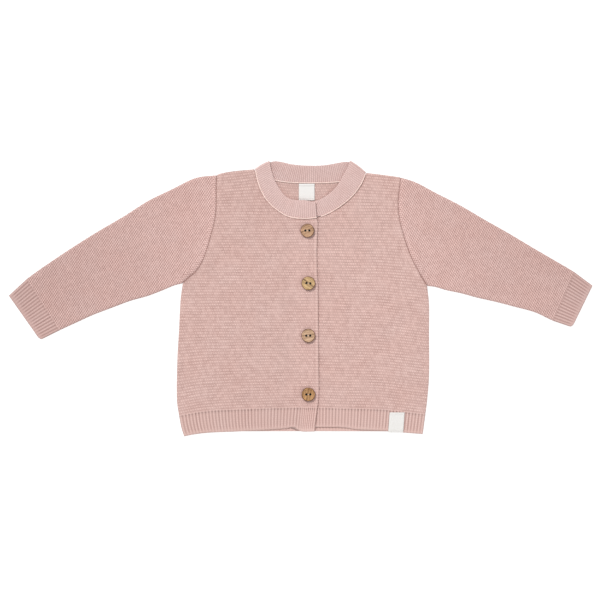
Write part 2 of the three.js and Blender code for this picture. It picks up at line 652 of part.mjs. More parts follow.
// The neckband's sewn and free edges in space, with its folds at both shoulders.
function bandCurves() {
  const frontZ = BAND_LIFT + BAND_WALL / 2;
  const backZ = BAND_WALL / 2;
  const foldRadius = (frontZ - backZ) / 2;
  const fold = (line, side) => {
    const direction = new THREE.Vector2(line.freeX - line.seamX, line.freeY - line.seamY).normalize();
    const outward = new THREE.Vector3(side * direction.y, -side * direction.x, 0);
    const inset = foldRadius + BAND_WALL / 2;
    return [90, 45, 0, -45, -90].map((degrees) => {
      const angle = THREE.MathUtils.degToRad(degrees);
      const reach = foldRadius * Math.cos(angle) - inset;
      return {
        seam: new THREE.Vector3(line.seamX, line.seamY, 0).addScaledVector(outward, reach),
        free: new THREE.Vector3(line.freeX, line.freeY, 0).addScaledVector(outward, reach),
        z: (frontZ + backZ) / 2 + foldRadius * Math.sin(angle),
      };
    });
  };
  const flat = (line, z) => ({
    seam: new THREE.Vector3(line.seamX, line.seamY, 0),
    free: new THREE.Vector3(line.freeX, line.freeY, 0),
    z,
  });
  const lines = [
    ...BAND_RIGHT.map((line) => flat(line, frontZ)),
    ...fold(FOLD_RIGHT, -1),
    ...BAND_BACK.map((line) => flat(line, backZ)),
    ...fold(FOLD_LEFT, 1).toReversed(),
    ...BAND_LEFT.map((line) => flat(line, frontZ)),
  ];
  for (const { seam, free, z } of lines) {
    const inwards = free.clone().sub(seam).normalize();
    seam.addScaledVector(inwards, SEAM_SHIFT);
    seam.z = z;
    free.z = z;
  }
  return {
    seam: new THREE.CatmullRomCurve3(lines.map(({ seam }) => seam)),
    free: new THREE.CatmullRomCurve3(lines.map(({ free }) => free)),
    middle: new THREE.CatmullRomCurve3(lines.map(({ seam, free }) => seam.clone().lerp(free, 0.5))),
    lines,
  };
}

// The neckband: a ribbon that runs up the right front, folds over at the shoulder, crosses the back
// inside out, folds again and runs down the left front. Its ribs are on the faces that look up.
function neckband() {
  const { seam, free, middle, lines } = bandCurves();
  middle.arcLengthDivisions = 1000;
  const last = lines.length - 1;
  const foldRight = (BAND_RIGHT.length + 2) / last;
  const foldLeft = (last - BAND_LEFT.length - 2) / last;
  const onBack = (t) => t > foldRight && t < foldLeft;
  const surface = (t, share) => {
    const at = clamp(t, 0, 1);
    const point = seam.getPoint(at).lerp(free.getPoint(at), share);
    point.z = clamp(point.z, BAND_WALL / 2, BAND_LIFT + BAND_WALL / 2);
    point.z += at < foldRight ? BAND_LIFT * step(point.x) : 0;
    return point;
  };
  const nudge = 1e-4;
  const moved = (t, share, offset) => {
    const run = surface(t + nudge, share).sub(surface(t - nudge, share));
    const across = surface(t, 1).sub(surface(t, 0));
    return surface(t, share).addScaledVector(across.cross(run).normalize(), offset);
  };
  const ribs = Math.round(middle.getLength() / BAND_RIB);
  const fine = [];
  for (let k = 0; k <= 2 * ribs; k += 1) {
    const valley = k % 2 === 0 && k > 0 && k < 2 * ribs;
    fine.push({ t: middle.getUtoTmapping(k / (2 * ribs)), depth: valley ? BAND_RIB_DEPTH : 0 });
  }
  const coarse = [{ t: 0, depth: 0 }];
  for (let i = 1; i <= last; i += 1) {
    const length = middle.getPoint(i / last).distanceTo(middle.getPoint((i - 1) / last));
    const count = Math.max(1, Math.round(length / BAND_COLUMN));
    for (let k = 1; k <= count; k += 1) {
      coarse.push({ t: (i - 1 + k / count) / last, depth: 0 });
    }
  }
  const mixed = (isFine) => {
    const stations = [...fine.filter(({ t }) => isFine(t)), ...coarse.filter(({ t }) => !isFine(t))];
    return stations.sort((a, b) => a.t - b.t);
  };
  const outerStations = mixed((t) => !onBack(t));
  const innerStations = mixed(onBack);
  const width = seam.getPoint(0).distanceTo(free.getPoint(0));
  return clothWall([0, EDGE / width, 1 - EDGE / width, 1].map((share) => {
    const half = (BAND_WALL / 2) * (share === 0 || share === 1 ? BAND_EDGE_THICKNESS : 1);
    return {
      outer: outerStations.map(({ t, depth }) => moved(t, share, half - depth)),
      inner: innerStations.map(({ t, depth }) => moved(t, share, depth - half)),
      outerShares: outerStations.map(({ t }) => t),
      innerShares: innerStations.map(({ t }) => t),
    };
  }), false);
}

// A label: a thin slip of woven tape on the surface below it.
function label({ left, right, top, bottom, lean }, surface) {
  const steps = [0, 1 / 3, 2 / 3, 1];
  const sections = steps.map((up) => {
    const points = (height) => steps.map((share) => {
      const x = lerp(left, right, share) + lean * (1 - up);
      const y = lerp(bottom, top, up);
      return new THREE.Vector3(x, y, surface(x, y) + height);
    });
    return { outer: points(LABEL_WALL), inner: points(0) };
  });
  return clothWall(sections, false);
}

const wasm = await Module();
wasm.setup();

function toSolid(geometry) {
  const bare = geometry.clone();
  bare.deleteAttribute("normal");
  bare.deleteAttribute("uv");
  const merged = mergeVertices(bare, MERGE_DISTANCE);
  return new wasm.Manifold(new wasm.Mesh({
    numProp: 3,
    vertProperties: merged.getAttribute("position").array,
    triVerts: new Uint32Array(merged.getIndex().array),
  }));
}

function toGeometry(solid) {
  const { vertProperties, triVerts } = solid.getMesh();
  const geometry = new THREE.BufferGeometry();
  geometry.setAttribute("position", new THREE.Float32BufferAttribute(vertProperties, 3));
  geometry.setIndex([...triVerts]);
  return geometry;
}

// A turned wooden button with a raised rim and two holes.
function buttonBody() {
  const { radius, thickness, round, rim, dish } = BUTTON;
  const profile = [
    [0, 0],
    [radius - round, 0],
    [radius, round],
    [radius, thickness - round],
    [radius - round / 2, thickness],
    [radius - rim, thickness],
    [radius - rim - dish, thickness - dish],
    [0, thickness - dish],
  ].map(([r, z]) => new THREE.Vector2(r, z));
  const disc = new THREE.LatheGeometry(profile, BUTTON_SEGMENTS).rotateX(Math.PI / 2);
  let solid = toSolid(disc);
  for (const side of [-1, 1]) {
    const hole = BUTTON_HOLE.radius;
    const drill = new THREE.CylinderGeometry(hole, hole, 3 * thickness, HOLE_SEGMENTS);
    drill.rotateX(Math.PI / 2).translate((side * BUTTON_HOLE.spacing) / 2, 0, 0);
    solid = solid.subtract(toSolid(drill));
  }
  return toGeometry(solid);
}

const group = new THREE.Group();

function add(name, geometry, { color, roughness, metalness }) {
  const mesh = new THREE.Mesh(geometry, new THREE.MeshStandardMaterial({ color, roughness, metalness }));
  mesh.name = name;
  group.add(mesh);
  return mesh;
}

add("back", back(), KNIT);
add("front_right", frontRight(), KNIT);
add("front_left", frontLeft(), KNIT);
add("sleeve_right", sleeve(SLEEVE_RIGHT, ARMHOLE_RIGHT), SLEEVE_KNIT);
add("sleeve_left", sleeve(SLEEVE_LEFT, ARMHOLE_LEFT), SLEEVE_KNIT);
add("neckband", neckband(), KNIT);
add("neck_label", label(NECK_LABEL, () => WALL + GAP), LABEL);
add("hem_label", label(HEM_LABEL, (x, y) => undersideLeft(x, y) + WALL + GAP), LABEL);

BUTTONS.forEach(({ x, y, wood }, i) => {
  const button = add(`button_${i + 1}`, buttonBody(), { color: wood, roughness: 0.6, metalness: 0 });
  const reach = BUTTON.radius;
  const corners = [[0, 0], [reach, 0], [-reach, 0], [0, reach], [0, -reach]];
  const seat = Math.max(...corners.map(([dx, dy]) => undersideRight(x + dx, y + dy))) + WALL;
  button.position.set(x, y, seat + GAP);
});

export default group;
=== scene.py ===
# The looks of a baby's knitted cardigan, laid flat and buttoned: knitted panels and sleeves with their
# stitches in relief, a ribbed neckband with its linking seam, two woven labels and four wooden buttons.
# Sizes are in millimetres until a mesh is made. X runs to the right of the picture, Y towards the neck
# and Z up from the surface. "Right" and "left" are the wearer's.
import math

import bmesh
import bpy
import mathutils
import numpy as np
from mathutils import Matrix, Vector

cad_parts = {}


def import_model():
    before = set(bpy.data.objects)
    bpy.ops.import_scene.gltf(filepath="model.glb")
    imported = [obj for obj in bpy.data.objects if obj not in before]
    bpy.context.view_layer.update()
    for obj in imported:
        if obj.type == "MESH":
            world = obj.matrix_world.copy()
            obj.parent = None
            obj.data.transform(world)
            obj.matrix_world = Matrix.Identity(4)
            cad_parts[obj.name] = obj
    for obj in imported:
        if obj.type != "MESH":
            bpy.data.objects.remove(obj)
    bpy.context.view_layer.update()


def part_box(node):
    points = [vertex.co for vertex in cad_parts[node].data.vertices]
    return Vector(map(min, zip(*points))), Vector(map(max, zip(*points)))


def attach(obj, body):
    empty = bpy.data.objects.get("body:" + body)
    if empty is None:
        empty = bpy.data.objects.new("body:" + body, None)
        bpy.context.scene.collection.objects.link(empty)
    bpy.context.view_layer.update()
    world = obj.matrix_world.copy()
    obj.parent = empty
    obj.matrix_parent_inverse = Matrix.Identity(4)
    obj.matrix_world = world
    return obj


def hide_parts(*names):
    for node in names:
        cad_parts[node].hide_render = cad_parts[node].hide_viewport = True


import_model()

MM = 0.001
FAR = 99.0

# Cloth and layers
WALL = 2.0
BAND_WALL = 2.4
LABEL_WALL = 0.5
GAP = 0.3
FRONT_LIFT = WALL + GAP
BAND_LIFT = BAND_WALL + GAP
SWELL = 1.2
SWELL_MIDDLE = (2.75, -25.0)
SWELL_REACH = (138.0, 125.0)
SLEEVE_HEIGHT = 5.0
ARMHOLE_HEIGHT = 4.6
ARMHOLE_BLEND = 60.0
FOLD_RADIUS = 3.0
STEP_START_X = -11.5
STEP_END_X = -6.5
NECK_Y = 87.0
# How far the top rows of knitting lean with the shoulder
SHOULDER_LEAN = 0.7

# Rounding of an open edge and of a seamed one: how far it reaches, and the share of the cloth's
# thickness that is left at the edge
EDGE = 1.6
EDGE_THICKNESS = 0.3
SEAM_EDGE = 0.9
SEAM_THICKNESS = 0.7

# Body knitting: ridges across, stitches along them
RIDGE = 3.05
RIDGE_ROWS = 5
BACK_RIDGE_ROWS = 3
STITCH = 2.65
RIDGE_DEPTH = 0.85
TURNED_EDGE = 3.6
# Half width of the faint line beside the turned edge, and the width of the strip with the buttons
TURNED_LINE = 0.7
PLACKET = 27.0
PLACKET_FADE = 4.0
# Distances from the end of a row at which its columns start, and the row that is too short for them
EDGE_COLUMN = 0.4
FIRST_COLUMN = 0.9
SHORT_ROW = 2.4
# Relief and shade of faces that nobody sees
UNSEEN = (0.6, 0.9)
# How much darker the lower front is beside the edge that covers it
COVER_SHADE = 0.07
# How much paler the edge stitches are on both sides of the armhole seam, where and how widely, and how
# far the painted shade of its dark furrow reaches
SEAM_PALE = 0.06
SEAM_PALE_AT = 2.8
SEAM_PALE_WIDTH = 1.6
SEAM_FURROW = 1.1
# Heights above the underarm between which the seam starts to press the cloth down
SEAM_STARTS = 6.0
SEAM_FULL = 30.0
# How much the shade varies slowly over the body and over the sleeves
BODY_MOTTLE = 0.008
SLEEVE_MOTTLE = 0.01
# How far the front neckband reaches over the back one at its seam, where it shades it
FRONT_OVER_BACK = 13.0
BAND_SHADOW = 0.27
BAND_SHADOW_REACH = 3.5

# Sleeve knitting
COURSE = 2.15
COURSE_ROWS = 4
COURSE_SHIFT = 0.38
SLEEVE_STITCH = 2.44
FASHIONED = 6.0
SLEEVE_DEPTH = 0.8
# Angles round a fold at which columns lie, and the distance between the columns of the lining
FOLD_COLUMNS = (0, 35, 65)
LINING_STEP = 12.0
LEAST_ROW = 1.0

# Ribs
HEM_RIB = 3.4
CUFF_RIB = 3.5
BAND_RIB = 2.1
RIB_SAMPLES = 6
BAND_RIB_SAMPLES = 5
BACK_RIB_SAMPLES = 4
HEM_HEIGHT = 24.0
HEM_DEPTH = 0.85
CUFF_TONE = 0.92
CUFF_CORNER = 3.0
BAND_DEPTH = 0.45
BAND_WIDTH = 17.0
RIB_STITCH = 2.4

# Sewing stitches: distance between them, length, width and height of each, and how far the strands part
CHAIN_PITCH, CHAIN_SIZE, CHAIN_SPREAD = 1.9, (2.6, 0.7, 0.8), 0.26
SEAM_PITCH, SEAM_SIZE, SEAM_SPREAD = 2.0, (3.0, 0.8, 1.0), 0.3
# How deep the armhole seam lies below the face of the cloth
SEAM_SUNK = 1.15

# How much each stitch and each rib differs from its neighbours, from -1 to 1
UNEVEN = np.random.default_rng(8).uniform(-1, 1, (199, 211))

# Outlines, as rows of (x, y)
SIDE_RIGHT = [
    (-128, -151.5), (-131, -142), (-133.5, -129), (-136, -111),
    (-135.5, -67), (-133.5, -32), (-132, -1.5), (-129.5, 17),
]
SIDE_LEFT = [
    (134.5, -149), (135.5, -142), (137.5, -127), (139.5, -111.5),
    (141.5, -85), (141.5, -34.5), (141.5, -6), (139.5, 14),
]
ARMHOLE_RIGHT = [
    (-129.5, 17), (-123.5, 22.5), (-115, 30), (-108, 40.5), (-102.5, 55), (-98.5, 69), (-94.5, 84.5),
    (-93, 95), (-92.5, 105), (-92.5, 113), (-92.5, 121), (-92.3, 129), (-92, 136),
]
ARMHOLE_LEFT = [
    (139.5, 14), (132, 26), (127, 35), (122, 45), (117.5, 57), (113.5, 69), (110.5, 80),
    (108.3, 91), (107.5, 100), (107.5, 108.5), (108.3, 117), (109.2, 125.5), (110, 133.5),
]
SHOULDER_RIGHT = (-50.5, 142.5)
SHOULDER_LEFT = (72.5, 138.5)
SHOULDER_BULGE_RIGHT = 1.6
SHOULDER_BULGE_LEFT = 0.3
# The fronts' inner edges: front edge, then neck seam
INNER_RIGHT = [
    (15.5, -146), (18.8, -119.5), (19.9, -111), (20.4, -100), (20, -60), (19.6, -10), (19.4, 15),
    (18.4, 30), (18, 50), (18.5, 66), (19.3, 84), (18.2, 88.1),
    (3.5, 88.3), (-13.5, 90.3), (-27, 98.3), (-37.5, 108.8), (-43, 118.3), (-47.5, 131), (-50.5, 142.5),
]
INNER_LEFT = [
    (-3, -141.5), (-3.4, -120.5), (-4, -111), (-4, 30), (-4, 88.5), (8, 89.2), (20, 89.6),
    (31, 93.8), (43.5, 101.3), (56, 111.8), (64.5, 122.3), (69.8, 132), (72.5, 138.5),
]
HEM_RIGHT = [
    (-128, -151.5), (-118, -149.5), (-101.5, -147.5), (-66.5, -146), (-17, -143), (-6, -141.3),
    (-2.5, -144.3), (2, -146), (15.5, -146),
]
HEM_LEFT = [
    (-3, -141.5), (38, -141.5), (49, -142), (63, -144), (96, -145.5), (109.5, -147), (134.5, -149),
]
HEM_BACK = [
    (-127.5, -151), (-101.5, -147), (-74, -146), (93, -146), (110, -146.7), (134, -148.6),
]
RIB_TOP = [
    (-133.5, -128.5), (-104, -123.5), (-68, -121.5), (0, -119.5), (49, -120.5), (88, -121.5),
    (111.5, -124), (137.5, -127),
]
BACK_NECK = [
    (-50.5, 142.5), (-49.7, 139.2), (-42, 134.9), (-30, 131), (-15, 128.3), (7, 127.5), (28, 127.6),
    (47, 129.3), (60, 132.5), (71.6, 135.5), (72.5, 138.5),
]

# Sleeves, from the cuff's end to the armhole
SLEEVE_RIGHT_UPPER = [
    (-321, 3.5), (-301.5, 21.5), (-273.5, 41.5), (-247, 59), (-220.5, 75.5), (-194, 91), (-168, 107.5),
    (-141.5, 120.5), (-115, 133), (-92, 136),
]
SLEEVE_RIGHT_LOWER = [
    (-286.5, -45.5), (-265.5, -35), (-245, -25.5), (-228.5, -18), (-207.5, -10), (-187.5, -2.5),
    (-168, 3), (-151, 9.5), (-139, 14.5), (-129.5, 17),
]
SLEEVE_LEFT_UPPER = [
    (321.5, 14.5), (302, 29), (281, 41.5), (254.5, 57), (228.5, 72.5), (202, 87.5), (175.5, 103),
    (149, 116.5), (126, 128.5), (110, 133.5),
]
SLEEVE_LEFT_LOWER = [
    (299, -31.5), (278.5, -24.5), (258, -15), (236, -9), (215, -3.5), (195, 1), (176.5, 6),
    (160, 9.5), (148, 13), (139.5, 14),
]
SEAM_SHIFT = 0.45

# Neckband, as rows of (seam x, seam y, free x, free y)
BAND_RIGHT = [
    (18, 89, 16.5, 106), (3.5, 88, 4, 108.3), (-13.5, 90.5, -7.5, 108.8), (-27, 98.5, -16.5, 113),
    (-37.5, 109, -23.5, 122), (-43, 118.5, -28, 130), (-47.5, 131, -31.5, 139.5),
]
FOLD_RIGHT = (-50.5, 142.5, -34.5, 151.6)
BAND_BACK = [
    (-42, 135.5, -28.5, 151.4), (-30, 131, -21, 150.6), (-15, 128.3, -9, 148), (7, 127.5, 8, 146.6),
    (28, 127.6, 26, 147), (47, 129.3, 41, 149.5), (60, 132.8, 49, 150.8),
]
FOLD_LEFT = (72.5, 138.5, 54.9, 151.8)
BAND_LEFT = [
    (69.8, 132.5, 51.5, 144), (64.5, 122.5, 47, 136), (56, 112, 40.5, 124.5), (43.5, 101.5, 31.5, 115.5),
    (31, 94, 22.5, 109.8), (20, 89.8, 14, 107), (8, 90.3, 6, 106.3), (-4, 91.5, -4, 106),
]

# Soft ridges pushed up in the cloth: from (x, y) to (x, y), half width and height
CREASES_RIGHT = [
    (-124, 8, -84, -6, 7, 0.9), (-127, -12, -98, -40, 9, 0.6), (-100, 62, -70, 40, 9, 0.5),
    (-62, 118, -56, 78, 7, 0.5), (-30, 60, -24, -60, 12, 0.45), (-118, -70, -60, -88, 12, 0.5),
    (-80, -20, -44, -36, 14, 0.4), (-52, -96, -20, -112, 9, 0.4),
]
CREASES_LEFT = [
    (132, 6, 96, -8, 7, 0.8), (134, -20, 108, -50, 9, 0.6), (106, 66, 84, 44, 9, 0.5),
    (78, 112, 70, 76, 7, 0.5), (40, 40, 36, -70, 13, 0.45), (120, -78, 66, -92, 12, 0.45),
    (92, -10, 56, -30, 14, 0.4), (62, -98, 34, -112, 9, 0.4),
]
CREASES_SLEEVE_RIGHT = [
    (-136, 30, -170, 62, 8, 0.6), (-120, 60, -150, 96, 10, 0.5), (-175, 14, -215, 32, 9, 0.5),
    (-232, 0, -262, 22, 7, 0.5), (-200, 60, -238, 48, 11, 0.4),
]
CREASES_SLEEVE_LEFT = [
    (146, 28, 180, 60, 8, 0.6), (130, 62, 158, 94, 10, 0.5), (184, 14, 222, 30, 9, 0.5),
    (244, 6, 272, 24, 7, 0.5), (212, 58, 250, 46, 11, 0.4),
]
# Painted shade of soft hollows at the underarms: middle (x, y), reach across and along, and how much darker
# they are
PAINTED_HOLLOWS = [(-98, 33, 6, 11, 0.06), (-122, 12, 12, 7, 0.05), (124, 10, 11, 8, 0.04)]

# "turn" is the angle of a button's holes and "grain" that of its wood, in degrees
BUTTONS = [
    {"x": 7.6, "y": 74.8, "slot": "dark", "turn": 2, "grain": 20, "cracked": False,
     "dark": (92, 60, 38), "pale": (230, 186, 148)},
    {"x": 8.7, "y": 17.0, "slot": "light", "turn": -3, "grain": -38, "cracked": True,
     "dark": (108, 74, 42), "pale": (240, 204, 150)},
    {"x": 8.6, "y": -40.5, "slot": "light", "turn": 2, "grain": 8, "cracked": False,
     "dark": (112, 78, 54), "pale": (238, 200, 164)},
    {"x": 8.7, "y": -105.0, "slot": "dark", "turn": 1, "grain": 78, "cracked": False,
     "dark": (84, 50, 24), "pale": (220, 170, 116)},
]
BUTTON_RADIUS = 7.5
BUTTON_THICKNESS = 3.2
BUTTON_DISH = 0.9
HOLE_FLOOR = 0.6
HOLE_RADIUS = 1.2
HOLE_PLACE = 2.1
# The line of stitches over a label's turned end, and the ridge of that end, from the end of the tape
LABEL_STITCHES = 2.2
LABEL_TURN = 1.2
NECK_LABEL = {"left": -1.8, "right": 15.6, "top": 126.6, "bottom": 108.0, "lean": 0.0}
HEM_LABEL = {"left": 98.0, "right": 114.5, "top": -125.0, "bottom": -147.0, "lean": -1.5}


def underside_right(x, y):
    """Height of the right front's lower face, which climbs onto the left front."""
    return FRONT_LIFT * (1 + layer_step(x)) + swell(x, y)


def underside_left(x, y):
    return FRONT_LIFT + swell(x, y)


# The two halves of the body, and the two sleeves. "straight" gives the heights between which the
# ridges lose the curve of the hem, "crowd" the extra ribs at the front edge, "turned" whether that edge
# is turned under, "tone" the shade and "underarm" how dark the painted shade in the seam's furrow is at the
# underarm.
RIGHT_HALF = {
    "side": SIDE_RIGHT, "armhole": ARMHOLE_RIGHT, "shoulder": SHOULDER_RIGHT, "bulge": SHOULDER_BULGE_RIGHT,
    "inner": INNER_RIGHT, "hem": HEM_RIGHT, "underside": underside_right, "creases": CREASES_RIGHT,
    "straight": (-118.0, -10.0), "crowd": 3, "turned": True, "tone": 0.915, "underarm": 0.3, "seed": 11,
}
LEFT_HALF = {
    "side": SIDE_LEFT, "armhole": ARMHOLE_LEFT, "shoulder": SHOULDER_LEFT, "bulge": SHOULDER_BULGE_LEFT,
    "inner": INNER_LEFT, "hem": HEM_LEFT, "underside": underside_left, "creases": CREASES_LEFT,
    "straight": (-20.0, 110.0), "crowd": 0, "turned": False, "tone": 0.95, "underarm": 0.13, "seed": 21,
}
# Each sleeve gives its painted shade at the armhole and at the cuff, and "underarm" how dark the painted
# shade in its seam's furrow is at the underarm.
RIGHT_SLEEVE = {
    "upper": SLEEVE_RIGHT_UPPER, "lower": SLEEVE_RIGHT_LOWER, "armhole": ARMHOLE_RIGHT,
    "creases": CREASES_SLEEVE_RIGHT, "painted_shades": (0.96, 0.85), "contrast": 0.33, "underarm": 0.33, "seed": 31,
}
LEFT_SLEEVE = {
    "upper": SLEEVE_LEFT_UPPER, "lower": SLEEVE_LEFT_LOWER, "armhole": ARMHOLE_LEFT,
    "creases": CREASES_SLEEVE_LEFT, "painted_shades": (0.97, 0.91), "contrast": 0.28, "underarm": 0.16, "seed": 41,
}


# Curves and heights


def smooth_function(points):
    """Smooth function through (at, value) points."""
    at, value = np.array(points, float).T
    before = np.r_[at[0], at[:-1]], np.r_[value[0], value[:-1]]
    after = np.r_[at[1:], at[-1]], np.r_[value[1:], value[-1]]
    slope = (after[1] - before[1]) / (after[0] - before[0])

    def value_at(x):
        x = np.clip(x, at[0], at[-1])
        i = np.clip(np.searchsorted(at, x, side="right") - 1, 0, len(at) - 2)
        span = at[i + 1] - at[i]
        t = (x - at[i]) / span
        rise = (slope[i] * (1 - t) - slope[i + 1] * t) * span * t * (1 - t)
        return value[i] + (value[i + 1] - value[i]) * t * t * (3 - 2 * t) + rise

    return value_at


def smooth_line(points, steps=16):
    """Points of a smooth curve through the given ones, with each of those at a multiple of steps."""
    p = np.array(points, float)
    p = np.vstack([2 * p[0] - p[1], p, 2 * p[-1] - p[-2]])
    t = np.linspace(0, 1, steps, endpoint=False)[:, None]
    pieces = []
    for a, b, c, d in zip(p[:-3], p[1:-2], p[2:-1], p[3:]):
        first, middle, last = [max(np.linalg.norm(q - r), 1e-9) ** 0.5 for q, r in ((b, a), (c, b), (d, c))]
        start = ((b - a) / first - (c - a) / (first + middle) + (c - b) / middle) * middle
        end = ((c - b) / middle - (d - b) / (middle + last) + (d - c) / last) * middle
        bend = 3 * (c - b) - 2 * start - end
        pieces.append(b + start * t + bend * t**2 + (2 * (b - c) + start + end) * t**3)
    return np.vstack([*pieces, p[-2][None]])


def travel(path):
    """Distance travelled along a path up to each of its points."""
    return np.r_[0, np.cumsum(np.linalg.norm(np.diff(path, axis=0), axis=1))]


def point_at(path, travelled, distance):
    return np.array([np.interp(distance, travelled, path[:, i]) for i in range(path.shape[1])])


def smoothstep(x, low, high):
    t = np.clip((x - low) / (high - low), 0, 1)
    return t * t * (3 - 2 * t)


def edge_share(distance, seamed=0.0):
    """Share of the cloth's thickness near an edge: 0 for an open edge, 1 for a seamed one."""
    reach = EDGE + (SEAM_EDGE - EDGE) * seamed
    least = EDGE_THICKNESS + (SEAM_THICKNESS - EDGE_THICKNESS) * seamed
    out = 1 - np.clip(distance / reach, 0, 1)
    return least + (1 - least) * np.sqrt(1 - out * out)


def swell(x, y):
    """How much the middle of the garment rises over its edges."""
    across = np.clip(1 - ((x - SWELL_MIDDLE[0]) / SWELL_REACH[0]) ** 4, 0, 1)
    along = np.clip(1 - ((y - SWELL_MIDDLE[1]) / SWELL_REACH[1]) ** 4, 0, 1)
    return SWELL * across * along


def layer_step(x):
    """0 where the right front lies on the back, and 1 where it lies on the left front."""
    return np.clip((x - STEP_START_X) / (STEP_END_X - STEP_START_X), 0, 1)


def creases(x, y, table):
    """Height of soft ridges along short lines, slightly bowed and tapered towards both ends."""
    total = np.zeros_like(x, dtype=float)
    for x0, y0, x1, y1, width, height in table:
        run = np.array([x1 - x0, y1 - y0])
        length = np.linalg.norm(run)
        along = ((x - x0) * run[0] + (y - y0) * run[1]) / length
        across = ((y - y0) * run[0] - (x - x0) * run[1]) / length
        bow = 0.06 * length * np.sin(np.pi * np.clip(along / length, 0, 1))
        begins = smoothstep(along, -0.2 * length, 0.3 * length)
        ends = 1 - smoothstep(along, 0.7 * length, 1.2 * length)
        total += height * begins * ends * np.exp(-(((across - bow) / width) ** 2))
    return total


def painted_hollow_shade(x, y):
    """How much darker the cloth is painted in its soft hollows, as their shade."""
    total = 0.0
    for at, up, wide, high, dark in PAINTED_HOLLOWS:
        total = total + dark * np.exp(-(((x - at) / wide) ** 2) - ((y - up) / high) ** 2)
    return total


def seam_share(height, under_arm):
    """How far the armhole seam presses the cloth down: 0 near the underarm and 1 above it."""
    return smoothstep(height, under_arm + SEAM_STARTS, under_arm + SEAM_FULL)


def seam_shade(distance, seamed, dark, cleared):
    """Paler edge stitches beside the armhole seam, and the painted shade of its furrow, darkest at the
    underarm.
    """
    pale = 1 + SEAM_PALE * seamed * np.exp(-(((distance - SEAM_PALE_AT) / SEAM_PALE_WIDTH) ** 2))
    return pale * (1 - dark * (1 - cleared * seamed) * np.exp(-distance / SEAM_FURROW))


def waviness(x, y, seed, shortest=22.0, longest=90.0):
    """Slow, even random variation between about -1 and 1, from waves of these lengths."""
    rng = np.random.default_rng(seed)
    total = np.zeros(np.broadcast(x, y).shape)
    for _ in range(7):
        angle = rng.uniform(0, 2 * np.pi)
        period = rng.uniform(shortest, longest)
        phase = rng.uniform(0, 2 * np.pi)
        total = total + np.cos(2 * np.pi * (x * np.cos(angle) + y * np.sin(angle)) / period + phase)
    return total / 4


def uneven(row, column):
    """How a stitch differs from its neighbours, by its row and its place in the row."""
    return UNEVEN[int(row) % UNEVEN.shape[0], np.floor(column + 0.5).astype(int) % UNEVEN.shape[1]]


# Meshes


class Shell:
    """A closed surface made of sheets. A sheet is a list of rows, which may differ in length."""

    def __init__(self):
        self.points = []
        self.relief = []
        self.shade = []
        self.faces = []
        self.count = 0

    def row(self, x, y, z, keys, relief=1.0, shade=1.0):
        points = np.column_stack(np.broadcast_arrays(np.asarray(x, float), y, z))
        self.points.append(points)
        self.relief.append(np.broadcast_to(relief, len(points)))
        self.shade.append(np.broadcast_to(shade, len(points)))
        first = self.count
        self.count += len(points)
        return range(first, self.count), np.broadcast_to(keys, len(points)).tolist()

    def sheet(self, rows):
        for before, after in zip(rows, rows[1:]):
            self.strip(before, after)

    def strip(self, before, after):
        """Triangles between two rows, by their keys."""
        (a, keys_a), (b, keys_b) = before, after
        i = j = 0
        while i < len(a) - 1 or j < len(b) - 1:
            if j == len(b) - 1 or (i < len(a) - 1 and keys_a[i + 1] <= keys_b[j + 1]):
                self.faces.append((a[i], a[i + 1], b[j]))
                i += 1
            else:
                self.faces.append((a[i], b[j + 1], b[j]))
                j += 1

    def rim(self, upper, lower, end):
        """The wall between two sheets along one end of their rows: 0 for the start and -1 for the end."""
        self.sheet([([a[0][end], b[0][end]], [0, 1]) for a, b in zip(upper, lower)])

    def close(self, upper, lower):
        """Two sheets of as many rows, with the walls between them all round."""
        self.sheet(upper)
        self.sheet(lower)
        for end in (0, -1):
            self.rim(upper, lower, end)
            self.strip(upper[end], lower[end])

    def object(self, name, material):
        points = np.vstack(self.points)
        places = np.round(points / 1e-4).astype(np.int64)
        _, first, same = np.unique(places, axis=0, return_index=True, return_inverse=True)
        faces = same.reshape(-1)[np.array(self.faces)]
        whole = (faces[:, 0] != faces[:, 1]) & (faces[:, 1] != faces[:, 2]) & (faces[:, 0] != faces[:, 2])
        faces = faces[whole]
        mesh = bpy.data.meshes.new(name)
        mesh.from_pydata((points[first] * MM).tolist(), [], faces.tolist())
        # The shade attribute is a brightness that the materials multiply into the colour: painted light and
        # shade, and slow random mottling.
        for attribute, values in (("relief", self.relief), ("shade", self.shade)):
            layer = mesh.attributes.new(attribute, "FLOAT", "POINT")
            layer.data.foreach_set("value", np.hstack(values)[first].astype(np.float32))
        return finish_mesh(name, mesh, material)


def finish_mesh(name, mesh, material):
    """Object with outward faces and smooth shading."""
    work = bmesh.new()
    work.from_mesh(mesh)
    bmesh.ops.recalc_face_normals(work, faces=work.faces)
    if work.calc_volume(signed=True) < 0:
        bmesh.ops.reverse_faces(work, faces=work.faces)
    work.to_mesh(mesh)
    work.free()
    mesh.polygons.foreach_set("use_smooth", [True] * len(mesh.polygons))
    mesh.materials.append(material)
    mesh.update()
    piece = bpy.data.objects.new(name, mesh)
    bpy.context.scene.collection.objects.link(piece)
    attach(piece, "root")
    return piece


# Panels


def columns_between(low, high, pitch):
    """Both ends, points close to them for their rounding, and the multiples of the pitch between."""
    if high - low < SHORT_ROW:
        return np.array([low, (low + high) / 2, high])
    first, last = math.ceil((low + FIRST_COLUMN) / pitch), math.floor((high - FIRST_COLUMN) / pitch)
    return np.r_[low, low + EDGE_COLUMN, np.arange(first, last + 1) * pitch, high - EDGE_COLUMN, high]


def row_ends(level, bend, left, right):
    """Where a row of knitting meets both outlines, and how steeply they lean there."""
    ends = []
    for outline in (left, right):
        u = outline(level)
        for _ in range(30):
            u = outline(level + bend(u, level))
        at = level + bend(u, level)
        lean = (outline(at + 0.2) - outline(at - 0.2)) / 0.4
        ends.append((float(u), math.sqrt(1 + float(lean) ** 2)))
    return ends


def outline_function(points):
    """Outline as x for each y, from points of rising y."""
    x, y = np.array(points, float).T
    y = np.maximum.accumulate(y)
    return lambda at: np.interp(at, y, x)


